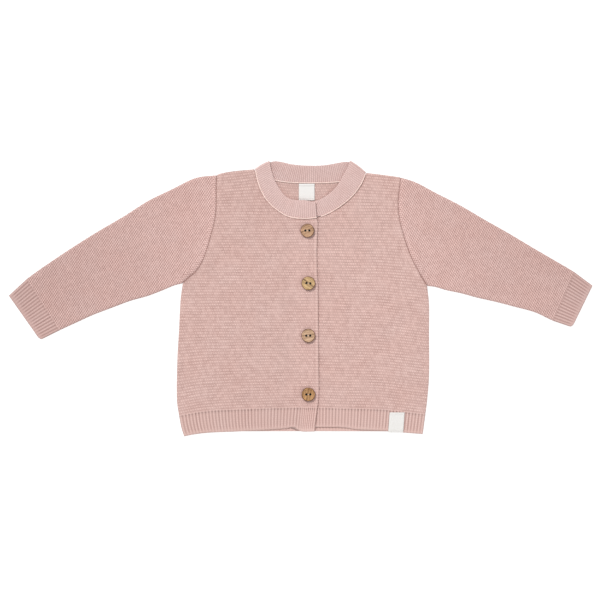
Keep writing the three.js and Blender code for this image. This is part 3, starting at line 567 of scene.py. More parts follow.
def shoulder_y(half, share):
    """Height of the shoulder's line, from the armhole at 0 to the neck at 1."""
    start, end = half["armhole"][-1][1], half["shoulder"][1]
    return start + (end - start) * share + half["bulge"] * np.sin(np.pi * np.clip(share, 0, 1) ** 0.6)


def side_outline(half):
    """Side, armhole and shoulder of one half, from the hem up."""
    side = half["side"]
    side_x = smooth_function([(y, x) for x, y in side])
    heights = np.linspace(side[0][1], side[-1][1], 80)[:-1]
    share = np.linspace(0, 1, 20)[1:]
    start, end = half["armhole"][-1][0], half["shoulder"][0]
    shoulder = np.column_stack([start + (end - start) * share, shoulder_y(half, share)])
    seam = smooth_line(half["armhole"])
    return outline_function(np.vstack([np.column_stack([side_x(heights), heights]), seam, shoulder]))


def garter(x, y, ridges, seed):
    """Relief of garter stitch, 0 in a furrow and 1 on a ridge. The ridges sway, and fade in patches."""
    row = int(ridges + 0.5)
    sway = 0.08 * waviness(x, y, seed + 1)
    strength = np.clip(0.3 + 0.12 * waviness(x, y, seed + 2, 10, 40), 0.1, 0.45)
    ridge = 0.5 + strength * np.cos(2 * np.pi * (ridges + sway))
    stitch = np.cos(2 * np.pi * (x / STITCH + 0.5 * (row % 2)))
    loops = ridge * (0.72 + 0.42 * stitch) + (1 - ridge) * 0.3 * (1 - stitch)
    return np.clip(loops + 0.09 * uneven(row, x / STITCH), 0, 1.15)


def rib(phase, along):
    """Relief of ribs, each a little different, with small stitches on their crests."""
    crest = (0.5 + 0.5 * np.cos(2 * np.pi * phase)) ** 0.8
    stitched = crest * (0.86 + 0.14 * np.cos(2 * np.pi * along))
    return 0.5 + (stitched - 0.5) * (0.82 + 0.22 * uneven(7, phase))


def hem_pattern(across, ribs, share, crowd):
    """Relief and shade of a ribbed hem: smooth at its free edge, with a dot of painted shade at the top
    of each furrow, and with the extra ribs crowded in, paler, at its far end."""
    phase = across * ribs + crowd * smoothstep(across, 0.86, 1.0) + 0.5
    relief = rib(phase, share * HEM_HEIGHT / RIB_STITCH)
    pale = smoothstep(across, 0.85, 0.93) * (crowd > 0)
    relief = 0.7 + (relief - 0.7) * (0.16 + (0.56 + 0.24 * pale) * smoothstep(share, 0.02, 0.22))
    # Painted shade: a dark dot at the top of each furrow
    dot_shade = (0.38 + 0.14 * uneven(3, phase)) * (1 - relief) * np.exp(-(((share - 0.94) / 0.04) ** 2))
    relief = relief + (0.75 - relief) * 0.7 * smoothstep(share, 0.97, 1.0)
    return relief, 0.97 * (1 - dot_shade) * (1 + 0.13 * pale)


def hem_rows(shell, half, height, floor):
    """Ribbed hem, from its lower edge to the line where the plain knitting starts."""
    side, inner = half["side"], half["inner"]
    side_x = smooth_function([(y, x) for x, y in side])
    hem_y, rib_y = smooth_function(half["hem"]), smooth_function(RIB_TOP)
    rib_start = float(rib_y(side[2][0]))
    ribs = round(abs(side[0][0] - inner[0][0]) / HEM_RIB)
    count = 3 * round(HEM_HEIGHT / RIB_STITCH)
    shares = np.r_[0, 0.4 / HEM_HEIGHT, np.arange(1, count + 1) / count]
    order = 1 if side[0][0] < inner[0][0] else -1
    upper, lower = [], []
    for share in shares:
        start = float(side_x(side[0][1] + (rib_start - side[0][1]) * share))
        end = inner[0][0] + (inner[1][0] - inner[0][0]) * share
        for rows, columns in ((upper, ribs * RIB_SAMPLES), (lower, 16)):
            across = np.linspace(0, 1, columns + 1)[::order]
            x = start + (end - start) * across
            y = hem_y(x) + (rib_y(x) - hem_y(x)) * share
            keys = float(side_x(rib_start)) * (1 - across) + inner[1][0] * across
            z, relief, shade = floor(x, y), *UNSEEN
            if rows is upper:
                edge = np.minimum.reduce([np.abs(x - start), np.abs(end - x), 0 * x + share * HEM_HEIGHT])
                relief, shade = hem_pattern(across, ribs, share, half["crowd"])
                shade = shade * half["tone"]
                z = height(x, y, edge_share(edge), relief, HEM_DEPTH)
            rows.append(shell.row(x, y, z, keys, relief, shade))
    return upper, lower


def turn_edge(relief, shade, from_edge, ridges):
    """The strip with the buttons, a little paler, and its turned-under edge, smoother, with a faint
    line beside it and painted shade along the edge where it ends."""
    turned = 1 - smoothstep(from_edge, TURNED_EDGE - 0.8, TURNED_EDGE)
    placket = 1 - smoothstep(from_edge, PLACKET - PLACKET_FADE, PLACKET)
    relief = relief + (0.68 + 0.2 * np.cos(2 * np.pi * ridges) - relief) * 0.6 * turned
    line = np.exp(-(((from_edge - TURNED_EDGE - 0.2) / TURNED_LINE) ** 2))
    # Painted shade along the front edge
    shade = shade * (1 + 0.05 * placket + 0.015 * turned) * (1 - 0.12 * np.exp(-from_edge / TURNED_LINE))
    return relief * (1 - 0.2 * line), shade


def front(name, half):
    """A front with its hem: garter ridges from the front edge to the side and the armhole."""
    shell = Shell()
    on_left = half["side"][0][0] > 0
    outer, inner = side_outline(half), outline_function(half["inner"])
    left, right = (inner, outer) if on_left else (outer, inner)
    under_arm, arm_top = half["armhole"][0][1], half["armhole"][-1][1]
    cover = outline_function(RIGHT_HALF["inner"])
    rib_y = smooth_function(RIB_TOP)
    base = float(rib_y(0.0))

    def floor(x, y):
        return half["underside"](x, y) + creases(x, y, half["creases"])

    def height(x, y, share, relief, depth):
        return floor(x, y) + WALL * share - depth * (1 - relief) * smoothstep(share, 0.2, 0.9)

    arm_x = half["armhole"][-1][0]
    lean = SHOULDER_LEAN * (half["shoulder"][1] - arm_top) / (half["shoulder"][0] - arm_x)

    def bend(x, level):
        hemmed = (rib_y(x) - base) * (1 - smoothstep(level, *half["straight"]))
        return hemmed + lean * (x - arm_x) * smoothstep(level, NECK_Y + 4, arm_top)

    upper, lower = hem_rows(shell, half, height, floor)
    top_y = max(half["shoulder"][1], arm_top)
    for k in range(1, int((top_y - base) / RIDGE * RIDGE_ROWS) + 30):
        ridges = k / RIDGE_ROWS
        level = base + ridges * RIDGE
        (low, low_lean), (high, high_lean) = row_ends(level, bend, left, right)
        if high - low < 0.6 or level > top_y:
            break
        x = columns_between(low, high, STITCH / 2)
        y = level + bend(x, level)
        ends = [(x - low) / low_lean, (high - x) / high_lean]
        from_inner, from_outer = ends if on_left else ends[::-1]
        relief = garter(x, y, ridges, half["seed"])
        mottle = 1 + BODY_MOTTLE * waviness(x, y, half["seed"])
        # Painted shade: a little darker towards the shoulders, and in the soft hollows at the underarms
        shade = half["tone"] * mottle * (1 - 0.03 * smoothstep(y, 30, 110)) * (1 - painted_hollow_shade(x, y))
        if half["turned"] and level < NECK_Y:
            relief, shade = turn_edge(relief, shade, from_inner, ridges)
        if on_left:
            shade = shade * (1 - COVER_SHADE * np.exp(-np.maximum(x - cover(y), 0) / 1.6))
        arm = seam_share(level, under_arm) * (level < arm_top)
        if under_arm < level < arm_top:
            shade = shade * seam_shade(from_outer, arm, half["underarm"], 0.6)
        share = np.minimum(edge_share(from_outer, arm), edge_share(from_inner, float(level > NECK_Y)))
        upper.append(shell.row(x, y, height(x, y, share, relief, RIDGE_DEPTH), x, relief, shade))
        bends = np.array([STEP_START_X, STEP_END_X])
        coarse = np.linspace(low, high, max(1, int((high - low) / 9)) + 1)
        coarse = np.unique(np.r_[coarse, bends[(bends > low + 1) & (bends < high - 1)]])
        floor_y = level + bend(coarse, level)
        lower.append(shell.row(coarse, floor_y, floor(coarse, floor_y), coarse, *UNSEEN))
    shell.close(upper, lower)
    return shell.object(name, MATERIALS["knit"])


def back_top(x):
    """Upper edge of the back: the neck's curve, and the shoulders outside it."""
    value = smooth_function(BACK_NECK)(x)
    for half in (RIGHT_HALF, LEFT_HALF):
        start, end = half["armhole"][-1][0], half["shoulder"][0]
        share = (x - start) / (end - start)
        value = np.where(share < 1, shoulder_y(half, share), value)
    return value


def back():
    """The back: knitting on the face that it lies on, flat there, and on the inside at the neck."""
    shell = Shell()
    rib_y, hem_y = smooth_function(RIB_TOP), smooth_function(HEM_BACK)
    outlines = side_outline(RIGHT_HALF), side_outline(LEFT_HALF)
    upper, lower = [], []

    def add(x, y, edge, relief, depth, shows):
        share = edge_share(edge)
        from_neck = np.maximum(back_top(x) - y, 0)
        # Painted shadow just under the neck's seam, on the part of the back that shows inside the neck
        tone = 0.885 * (1 - 0.3 * np.exp(-from_neck / 1.3)) if shows and y[0] > NECK_Y else 0.97
        keys = np.linspace(0, 1, len(x))
        z = WALL * (1 - share) + depth * (1 - relief) * smoothstep(share, 0.2, 0.9)
        lower.append(shell.row(x, y, z, keys, relief, 0.97))
        if shows:
            upper.append(shell.row(x, y, WALL - 0.5 * depth * (1 - relief), keys, relief, tone))
        else:
            some = np.unique(np.r_[np.arange(0, len(x), 8), len(x) - 1])
            upper.append(shell.row(x[some], y[some], WALL, keys[some], 0.8, 0.95))

    hem_start, hem_count = HEM_BACK[0][1], 24
    ribs = round((SIDE_LEFT[0][0] - SIDE_RIGHT[0][0]) / HEM_RIB)
    for k in range(hem_count + 1):
        share = k / hem_count
        level = hem_start + (RIB_TOP[0][1] - hem_start) * share
        low, high = [float(outline(level)) for outline in outlines]
        across = np.linspace(0, 1, ribs * BACK_RIB_SAMPLES + 1)
        x = low + (high - low) * across
        y = hem_y(x) + (rib_y(x) - hem_y(x)) * share
        edge = np.minimum.reduce([x - low, high - x, 0 * x + share * HEM_HEIGHT])
        relief, _ = hem_pattern(across, ribs, share, 0)
        add(x, y, edge, relief, HEM_DEPTH, True)

    # Plain knitting, from the ribs' line to the neck and the shoulders
    base, top = RIB_TOP[3][1], SHOULDER_RIGHT[1]
    starts, ends = (RIB_TOP[0][1], ARMHOLE_RIGHT[-1][1]), (RIB_TOP[-1][1], ARMHOLE_LEFT[-1][1])
    last = int((top - base) / RIDGE * BACK_RIDGE_ROWS)
    for k in range(1, last + 1):
        share = k / last
        start_y = starts[0] + (starts[1] - starts[0]) * share
        end_y = ends[0] + (ends[1] - ends[0]) * share
        low, high = float(outlines[0](start_y)), float(outlines[1](end_y))
        shows = base + (top - base) * share > NECK_Y + 5
        stitches = np.arange(round((high - low) / STITCH * 2) + 1) / 2
        across = stitches / stitches[-1]
        x = low + (high - low) * across
        ribbed = rib_y(x) - (starts[0] + (ends[0] - starts[0]) * across)
        topped = back_top(x) - (starts[1] + (ends[1] - starts[1]) * across)
        y = start_y + (end_y - start_y) * across
        y = y + ribbed * (1 - smoothstep(share, 0, 0.3)) + topped * smoothstep(share, 0.6, 1)
        from_top = (last - k) * RIDGE / BACK_RIDGE_ROWS * 0.8
        edge = np.minimum.reduce([x - low, high - x, 0 * x + from_top])
        add(x, y, edge, garter(stitches * STITCH, y, k / BACK_RIDGE_ROWS, 5), RIDGE_DEPTH, shows)
    shell.close(upper, lower)
    return shell.object("knitted_back", MATERIALS["knit"])


# Sleeves


class Sleeve:
    """A flattened tube of knitting with a ribbed cuff, in its own directions: s along it towards the
    cuff and t across it. Its rows cross it, and end on its folds and on the armhole seam."""

    def __init__(self, spec):
        self.spec = spec
        self.side = math.copysign(1, spec["upper"][0][0])
        self.cuff_top, self.cuff_bottom = [np.array(spec[edge][1], float) for edge in ("upper", "lower")]
        self.across = (self.cuff_top - self.cuff_bottom) / np.linalg.norm(self.cuff_top - self.cuff_bottom)
        self.along = np.array([self.across[1], -self.across[0]]) * self.side
        seam = smooth_line(spec["armhole"])
        seam[:, 0] += self.side * SEAM_SHIFT
        self.high = self.edge_function(smooth_line(spec["upper"]))
        self.fold_low = self.edge_function(smooth_line(spec["lower"]))
        self.seam_low = self.edge_function(seam)
        self.first_s, self.under_arm = seam[-1] @ self.along, seam[0] @ self.along
        self.cuff_s = self.cuff_top @ self.along
        self.shell = Shell()
        self.parts = {"top": [], "under": [], "lining_top": [], "lining_under": []}

    def edge_function(self, points):
        s, t = (points @ self.along)[::-1], (points @ self.across)[::-1]
        s = np.maximum.accumulate(s)
        return lambda at: float(np.interp(at, s, t))

    def outside(self, distance, height):
        """Heights of the outer faces at a distance from a fold."""
        round_off = np.sqrt(np.clip(1 - (1 - np.clip(distance / FOLD_RADIUS, 0, 1)) ** 2, 0, 1))
        return height / 2 * (1 + round_off), height / 2 * (1 - round_off)

    def lining(self, distance, height):
        """Heights of the inner faces at a distance from a fold."""
        reach = np.clip((distance - WALL) / 1.5, 0, 1)
        half = (height / 2 - WALL) * np.sqrt(np.clip(1 - (1 - reach) ** 2, 0, 1))
        return height / 2 + half, height / 2 - half

    # Painted shade along the sleeve, darker towards the cuff, where the sleeve turns away from the light.
    def tone(self, s):
        first, last = self.spec["painted_shades"]
        return first + (last - first) * smoothstep(s, self.first_s, self.cuff_s)

    def ring(self, place, ends, columns, height, seam_lean, pattern, depth, tone):
        """One ring, as four rows: outside above and below, and inside above and below. A ring that
        ends on the armhole seam has seam_lean, how far the seam leans from the rows."""
        low, high = ends
        closed = seam_lean is None
        fold = FOLD_RADIUS * (1 - np.cos(np.radians(FOLD_COLUMNS))) * min(1, (high - low) / 5)
        start, end = low + fold if closed else low + fold[:2], high - fold
        for kind, inside in zip(("top", "under"), columns):
            t = np.unique(np.r_[start, inside[(inside > start[-1] + 0.5) & (inside < end[-1] - 0.5)], end])
            x, y = place(t)
            nearest = np.minimum(t - low if closed else FAR, high - t)
            top, under = self.outside(nearest, height)
            relief = pattern(t)
            round_off = smoothstep(nearest, 0.2, FOLD_RADIUS)
            z, shade = under + depth * (1 - relief) * round_off, 0.97
            if kind == "top":
                z = top - depth * (1 - relief) * round_off + creases(x, y, self.spec["creases"]) * round_off
                shade = tone * (1 + SLEEVE_MOTTLE * waviness(x, y, self.spec["seed"]))
                # Painted shade across the sleeve: lighter towards its lower edge, darker towards its upper
                # one
                shade = shade * (1 + 0.06 * ((high - t) / (high - low) - 0.5))
            if kind == "top" and not closed:
                from_seam = (t - low) / seam_lean
                seamed = float(seam_share(y[0], self.spec["armhole"][0][1]))
                z = z - WALL * (1 - edge_share(from_seam, seamed))
                shade = shade * seam_shade(from_seam, seamed, self.spec["underarm"], 0.7)
            self.parts[kind].append(self.shell.row(x, y, z, t, relief, shade))
        first, last = low + (WALL if closed else 0), high - min(WALL, 0.4 * (high - low))
        t = np.unique(np.r_[first, np.arange(math.ceil(low + 5), high - 4, LINING_STEP), last])
        x, y = place(t)
        top, under = self.lining(np.minimum(t - low if closed else FAR, high - t), height)
        from_folds = smoothstep(high - t, 2, 5) * (smoothstep(t - low, 2, 5) if closed else 1)
        lifted = top + creases(x, y, self.spec["creases"]) * from_folds
        self.parts["lining_top"].append(self.shell.row(x, y, lifted, t, 0.5, 0.8))
        self.parts["lining_under"].append(self.shell.row(x, y, under, t, 0.5, 0.8))

    def body(self):
        """The rings of plain knitting. Returns how many of them end on the armhole seam."""
        open_rings = 0
        for k in range(1, int((self.cuff_s - self.first_s) / COURSE * COURSE_ROWS)):
            courses = k / COURSE_ROWS
            s = self.first_s + courses * COURSE
            closed = s > self.under_arm
            edge = self.fold_low if closed else self.seam_low
            low, high = edge(s), self.high(s)
            if high - low < LEAST_ROW:
                continue
            lean = None if closed else math.sqrt(1 + ((edge(s + 0.3) - edge(s - 0.3)) / 0.6) ** 2)
            open_rings += not closed
            stitches = np.arange(260) / 3, np.arange(180) / 2 - COURSE_SHIFT * courses % 0.5
            columns = [SLEEVE_STITCH * numbers for numbers in stitches]
            blend = min(1, max(0, (s - self.under_arm) / ARMHOLE_BLEND))
            height = ARMHOLE_HEIGHT + (SLEEVE_HEIGHT - ARMHOLE_HEIGHT) * blend

            def place(t):
                return (s * self.along + np.outer(t, self.across)).T

            def pattern(t):
                shift = COURSE_SHIFT * np.where(closed | (t - low > FASHIONED), 1, -1)
                stitches = np.cos(2 * np.pi * (t / SLEEVE_STITCH + shift * courses))
                relief = 0.5 + 0.24 * np.cos(2 * np.pi * courses) + self.spec["contrast"] * stitches
                return np.clip(relief + 0.07 * uneven(courses + 0.5, t / SLEEVE_STITCH), 0, 1)

            self.ring(place, (low, high), columns, height, lean, pattern, SLEEVE_DEPTH, self.tone(s))
        return open_rings

    def cuff(self):
        """The rings of the ribbed cuff, from its seam line to its end."""
        end_top, end_bottom = [np.array(self.spec[edge][0], float) for edge in ("upper", "lower")]
        low, high = self.fold_low(self.cuff_s), self.high(self.cuff_s)
        length = np.linalg.norm(end_top - self.cuff_top)
        ribs = round((high - low) / CUFF_RIB)
        columns = [np.linspace(low, high, ribs * samples + 1) for samples in (RIB_SAMPLES, 2)]
        count = 3 * round(length / RIB_STITCH)
        for k in range(count + 1):
            share = k / count

            def place(t):
                across = ((t - low) / (high - low))[:, None]
                start = self.cuff_bottom + (self.cuff_top - self.cuff_bottom) * across
                end = end_bottom + (end_top - end_bottom) * across
                corner = 1 - np.clip((t - low)[:, None] / (2 * CUFF_CORNER), 0, 1)
                end = end + (start - end) / length * CUFF_CORNER * (1 - np.sqrt(1 - corner**2))
                return (start + (end - start) * share).T

            def pattern(t):
                relief = rib((t - low) / (high - low) * ribs + 0.5, k / 3)
                fade = smoothstep(share, 0.72, 0.95)
                relief = relief + (0.66 - relief) * (0.25 + 0.55 * fade)
                return relief * (1 - 0.12 * math.exp(-((share * length / 1.0) ** 2)))

            height = ARMHOLE_HEIGHT * (1 if k < count else 0.86)
            tone = CUFF_TONE * self.tone(self.cuff_s)
            self.ring(place, (low, high), columns, height, None, pattern, HEM_DEPTH, tone)

    def build(self, name):
        open_rings = self.body()
        self.cuff()
        for rows in self.parts.values():
            self.shell.sheet(rows)
        for outer, lining in (("top", "lining_top"), ("under", "lining_under")):
            outer, lining = self.parts[outer], self.parts[lining]
            self.shell.rim(outer[: open_rings + 1], lining[: open_rings + 1], 0)
            self.shell.strip(outer[0], lining[0])
            self.shell.strip(outer[-1], lining[-1])
        return self.shell.object(name, MATERIALS["sleeve"])


# Neckband

BAND_STEPS = 24
FOLD_ANGLES = (90, 45, 0, -45, -90)
# How tight the folds are pressed, and how far their outline bows out
FOLD_TIGHT = 0.6
FOLD_BOW = 0.8


def band_lines():
    """Seam and free edge of the neckband, as points in space, with its folds at both shoulders."""
    front_z = BAND_LIFT + BAND_WALL / 2
    back_z = BAND_WALL / 2
    radius = (front_z - back_z) / 2
    lines = []

    def flat(rows, z):
        for row in rows:
            lines.append((np.array([row[0], row[1], z], float), np.array([row[2], row[3], z], float)))

    def fold(row, side, angles):
        direction = np.array([row[2] - row[0], row[3] - row[1]], float)
        direction /= np.linalg.norm(direction)
        outward = np.array([side * direction[1], -side * direction[0], 0])
        for angle in np.radians(angles):
            reach = radius * math.cos(angle) - radius - BAND_WALL / 2
            z = (front_z + back_z) / 2 + radius * math.sin(angle)
            shift = outward * reach * FOLD_TIGHT + np.array([0, 0, z])
            lines.append((np.array([*row[:2], 0]) + shift, np.array([*row[2:], 0]) + shift))

    flat(BAND_RIGHT, front_z)
    fold(FOLD_RIGHT, -1, FOLD_ANGLES)
    flat(BAND_BACK, back_z)
    fold(FOLD_LEFT, 1, FOLD_ANGLES[::-1])
    flat(BAND_LEFT, front_z)
    shifted = []
    for seam, free in lines:
        inward = (free - seam) / np.linalg.norm(free - seam)
        shifted.append((seam + inward * SEAM_SHIFT, free))
    return shifted


def band_curves():
    """Middle of the neckband's cloth along its seam and along its free edge, and where both fold."""
    lines = band_lines()
    seam, free = [smooth_line([line[side] for line in lines], BAND_STEPS) for side in (0, 1)]
    first = (len(BAND_RIGHT) + 2) * BAND_STEPS
    last = len(seam) - 1 - (len(BAND_LEFT) + 2) * BAND_STEPS
    for curve in (seam, free):
        curve[:, 2] = np.clip(curve[:, 2], BAND_WALL / 2, BAND_LIFT + BAND_WALL / 2)
        curve[:first, 2] += BAND_LIFT * layer_step(curve[:first, 0])
    return seam, free, first, last


def neckband():
    """The ribbed band round the neck, with its folds at the shoulders and its ends on each other."""
    seam, free, first, last = band_curves()
    travelled = travel((seam + free) / 2)
    ribs = round(travelled[-1] / BAND_RIB)
    stations = np.linspace(0, travelled[-1], ribs * BAND_RIB_SAMPLES + 1)
    seam_at, free_at = [point_at(curve, travelled, stations).T for curve in (seam, free)]
    run = np.gradient((seam_at + free_at) / 2, axis=0)
    normal = np.cross(free_at - seam_at, run)
    normal /= np.linalg.norm(normal, axis=1)[:, None]
    inward = (free_at - seam_at) / np.linalg.norm(free_at - seam_at, axis=1)[:, None]

    # At the folds the outline bows away from the middle of the garment
    outward = normal * np.sign(np.sum(normal[:, :2] * seam_at[:, :2], axis=1))[:, None]
    bow = outward * (FOLD_BOW * np.clip(1 - np.abs(normal[:, 2]) / 0.9, 0, 1))[:, None]
    from_fold = np.minimum(*[np.abs(stations - travelled[at]) for at in (first, last)])
    on_back = (stations > travelled[first]) & (stations < travelled[last])
    inside_tone = np.where(on_back, 0.89, 0.915)

    phase = np.arange(len(stations)) / BAND_RIB_SAMPLES + 0.5
    crest = 0.5 + 0.5 * np.cos(2 * np.pi * phase)
    shell = Shell()
    faces = {1: [], -1: []}
    for share in np.r_[0, 0.03, np.linspace(0.09, 0.91, 21), 0.97, 1]:
        edge = min(share / 0.6, 1 - share)
        thickness = BAND_WALL / 2 * (0.5 + 0.5 * math.sqrt(1 - (1 - min(edge / 0.09, 1)) ** 2))
        scallop = 0.35 * (crest - 0.5) * smoothstep(share, 0.85, 1)
        middle = seam_at + (free_at - seam_at) * share
        middle = middle + inward * scallop[:, None] + bow * math.sin(math.pi * share)
        along = np.cos(2 * np.pi * (share * BAND_WIDTH / RIB_STITCH + 0.5 * phase))
        relief = crest**0.8 * (0.8 + 0.2 * along) + 0.08 * uneven(share * BAND_WIDTH / RIB_STITCH, phase)
        relief = 0.6 + (relief - 0.6) * np.where(on_back, 1.0, 0.72)
        fades = 0.35 + 0.65 * smoothstep(min(share, 1 - share), 0, 0.09)
        for sign in (1, -1):
            looks_up = (normal[:, 2] * sign > 0.3) | (np.abs(normal[:, 2]) <= 0.3)
            depth = np.where(looks_up, BAND_DEPTH, 0.25) * fades
            x, y, z = (middle + normal * (sign * (thickness - depth * (1 - relief)))[:, None]).T
            from_front = np.maximum(from_fold - FRONT_OVER_BACK * (1 - share), 0)
            shade = inside_tone * (1 - BAND_SHADOW * on_back * np.exp(-from_front / BAND_SHADOW_REACH))
            shade = shade * (1 + 0.03 * smoothstep(share, 0.6, 1.0))
            faces[sign].append(shell.row(x, y, z, stations, relief, shade))
    shell.close(faces[1], faces[-1])
    return shell.object("rib_neckband", MATERIALS["band"])


# Seams


def bead(shell, centre, direction, size):
    """A small closed bead of yarn: a rounded spindle along a direction, with its length, width, height."""
    direction = np.array(direction, float) / np.linalg.norm(direction)
    side = np.cross([0, 0, 1.0], direction)
    side /= max(np.linalg.norm(side), 1e-6)
    lift = np.cross(direction, side)
    length, width, height = size
    angles = np.linspace(0, 2 * np.pi, 9)
    rows = []
    for place in (-1, -0.8, -0.4, 0.0, 0.4, 0.8, 1):
        radius = math.sqrt(max(0.0, 1 - place * place)) ** 0.8
        middle = np.array(centre) + direction * place * length / 2
        ring = middle + np.outer(np.cos(angles) * radius * width / 2, side)
        ring = ring + np.outer(np.sin(angles) * radius * height / 2, lift)
        ring[-1] = ring[0]
        rows.append(shell.row(*ring.T, np.arange(9), 0.75 + 0.25 * np.sin(angles), 1.0))
    shell.sheet(rows)


def stitch_row(shell, path, pitch, size, spread):
    """Two strands of overlapping beads along a path, crossing it a little at each stitch."""
    travelled = travel(path)
    for k in range(int(travelled[-1] / pitch)):
        distance = (k + 0.5) * pitch
        point = point_at(path, travelled, distance)
        run = point_at(path, travelled, distance + pitch / 2) - point
        run /= np.linalg.norm(run)
        across = np.array([run[1], -run[0], 0])
        for side in (-1, 1):
            bead(shell, point + across * side * spread, run + across * side * 0.25, size)


def linking_chain():
    """The light line of linking stitches where the neckband is sewn to the fronts and the back."""
    seam, free, first, last = band_curves()
    shell = Shell()
    clear = 2 * BAND_STEPS
    hidden = np.argmax((np.arange(len(seam)) > last) & (seam[:, 0] < 20))
    inward = (free - seam) / np.linalg.norm(free - seam, axis=1)[:, None]
    shown = ((0, first - clear, 0.0), (first + clear, last - clear, 0.05), (last + clear, hidden, 0.0))
    for begin, end, lift in shown:
        path = seam[begin:end] - inward[begin:end] * 0.25 + [0, 0, BAND_WALL / 2 + lift]
        stitch_row(shell, path, CHAIN_PITCH, CHAIN_SIZE, CHAIN_SPREAD)
    return shell.object("linking_chain", MATERIALS["chain"])


def armhole_seam(name, half, side):
    """The sewing that fills the armhole seam from the shoulder down to the underarm, in yarn painted dark as
    the seam's shade.
    """
    seam = smooth_line(half["armhole"])
    seam[:, 0] += side * SEAM_SHIFT / 2
    shown = seam[seam[:, 1] > seam[0][1] + 0.8]
    z = FRONT_LIFT + WALL - SEAM_SUNK + 0.6 * swell(*shown.T)
    shell = Shell()
    stitch_row(shell, np.column_stack([shown, z]), SEAM_PITCH, SEAM_SIZE, SEAM_SPREAD)
    return shell.object(name, MATERIALS["seam"])


# Labels and buttons


def label(name, size, surface, node_name):
    """A slip of woven tape with turned-under ends."""
    shell = Shell()
    width, height = size["right"] - size["left"], size["top"] - size["bottom"]
    across = np.linspace(0, 1, 25)
    top, under = [], []
    for up in np.linspace(0, 1, 25):
        x = size["left"] + width * across + size["lean"] * (1 - up)
        y = np.full(len(x), size["bottom"] + height * up)
        end = min(up, 1 - up) * height
        near = np.minimum(np.minimum(across, 1 - across) * width, end)
        hem = 0.12 * math.exp(-(((end - LABEL_TURN) / 0.5) ** 2))
        thick = LABEL_WALL * (0.55 + 0.45 * smoothstep(near, 0, 0.6)) + hem
        relief = 1 - 0.6 * math.exp(-(((end - LABEL_STITCHES) / 0.35) ** 2))
        wave = 0.1 + 0.12 * np.sin(2 * np.pi * (across + 0.2 * up)) * smoothstep(end, 0, 4)
        base = surface(x, y)
        top.append(shell.row(x, y, base + thick + wave, across, relief, 1.0))
        under.append(shell.row(x, y, base, across, 0.8, 1.0))
    shell.close(top, under)
    piece = shell.object(name, MATERIALS["label"])
    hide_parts(node_name)
    return piece


def turned_solid(name, profile, segments):
    """A turned solid, in metres, from (radius, height) points that start and end on the axis."""
    work = bmesh.new()
    rings = []
    for radius, z in profile:
        angles = [2 * math.pi * i / segments for i in range(segments)] if radius else [0]
        ring = [(radius * math.cos(a) * MM, radius * math.sin(a) * MM, z * MM) for a in angles]
        rings.append([work.verts.new(point) for point in ring])
    for before, after in zip(rings, rings[1:]):
        for i in range(segments):
            j = i + 1
            corners = [before[i % len(before)], before[j % len(before)]]
            corners += [after[j % len(after)], after[i % len(after)]]
            work.faces.new(list(dict.fromkeys(corners)))
    bmesh.ops.recalc_face_normals(work, faces=work.faces)
    mesh = bpy.data.meshes.new(name)
    work.to_mesh(mesh)
    work.free()
    solid = bpy.data.objects.new(name, mesh)
    bpy.context.scene.collection.objects.link(solid)
    return solid


def button_mesh():
    """Wooden button with a raised rim, a dished middle and two deep holes with a floor."""
    r, h = BUTTON_RADIUS, BUTTON_THICKNESS
    body = turned_solid("button_body", [
        (0, 0), (r - 1.6, 0), (r - 0.9, 0.08), (r - 0.3, 0.4), (r - 0.05, 0.9), (r, 1.5), (r, h - 1.2),
        (r - 0.08, h - 0.7), (r - 0.3, h - 0.25), (r - 0.65, h - 0.04), (r - 1.05, h), (r - 1.45, h - 0.08),
        (r - 1.8, h - 0.35), (r - 2.1, h - 0.7), (r - 2.5, h - 0.88), (r - 3.4, h - 0.92),
        (0, h - BUTTON_DISH),
    ], 72)
    hole = HOLE_RADIUS
    bore = [(0, HOLE_FLOOR), (hole, HOLE_FLOOR), (hole, h - 1.2)]
    bore += [(hole + 0.15, h - BUTTON_DISH), (hole + 0.3, h + 1), (0, h + 1)]
    drills = []
    for side in (-1, 1):
        drill = turned_solid("button_drill", bore, 28)
        drill.location.x = side * HOLE_PLACE * MM
        cut = body.modifiers.new("hole", "BOOLEAN")
        cut.operation = "DIFFERENCE"
        cut.solver = "EXACT"
        cut.object = drill
        drills.append(drill)
    bpy.context.view_layer.update()
    mesh = bpy.data.meshes.new_from_object(body.evaluated_get(bpy.context.evaluated_depsgraph_get()))
    for extra in (body, *drills):
        bpy.data.objects.remove(extra)
    return mesh


def button(number, spec, template):
    """One button, a little turned, with its wood's grain and the thread through its holes."""
    low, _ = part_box(f"button_{number}")
    turn = math.radians(spec["turn"])
    mesh = template.copy()
    mesh.transform(mathutils.Matrix.Rotation(turn, 4, "Z"))
    mesh.transform(mathutils.Matrix.Translation((spec["x"] * MM, spec["y"] * MM, low[2])))
    mesh.materials.clear()
    mesh.materials.append(wood(f"wood_{number}", spec))
    mesh.polygons.foreach_set("use_smooth", [True] * len(mesh.polygons))
    mesh.set_sharp_from_angle(angle=math.radians(40))
    mesh.update()
    piece = bpy.data.objects.new(f"wooden_button_{number}", mesh)
    bpy.context.scene.collection.objects.link(piece)
    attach(piece, "root")
    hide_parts(f"button_{number}")

    shell = Shell()
    c, s = math.cos(turn), math.sin(turn)
    face = low[2] / MM + BUTTON_THICKNESS - BUTTON_DISH
    for strand in (-0.2, 0.2):
        for place, rise, slope in ((-0.85, -0.3, 2.0), (0.0, 0.1, 0.0), (0.85, -0.3, -2.0)):
            centre = (spec["x"] + place * c - strand * s, spec["y"] + place * s + strand * c, face + rise)
            bead(shell, centre, (c, s, slope), (1.2 if slope else 1.7, 0.42, 0.42))
    shell.object(f"button_thread_{number}", MATERIALS["thread"])


# Materials


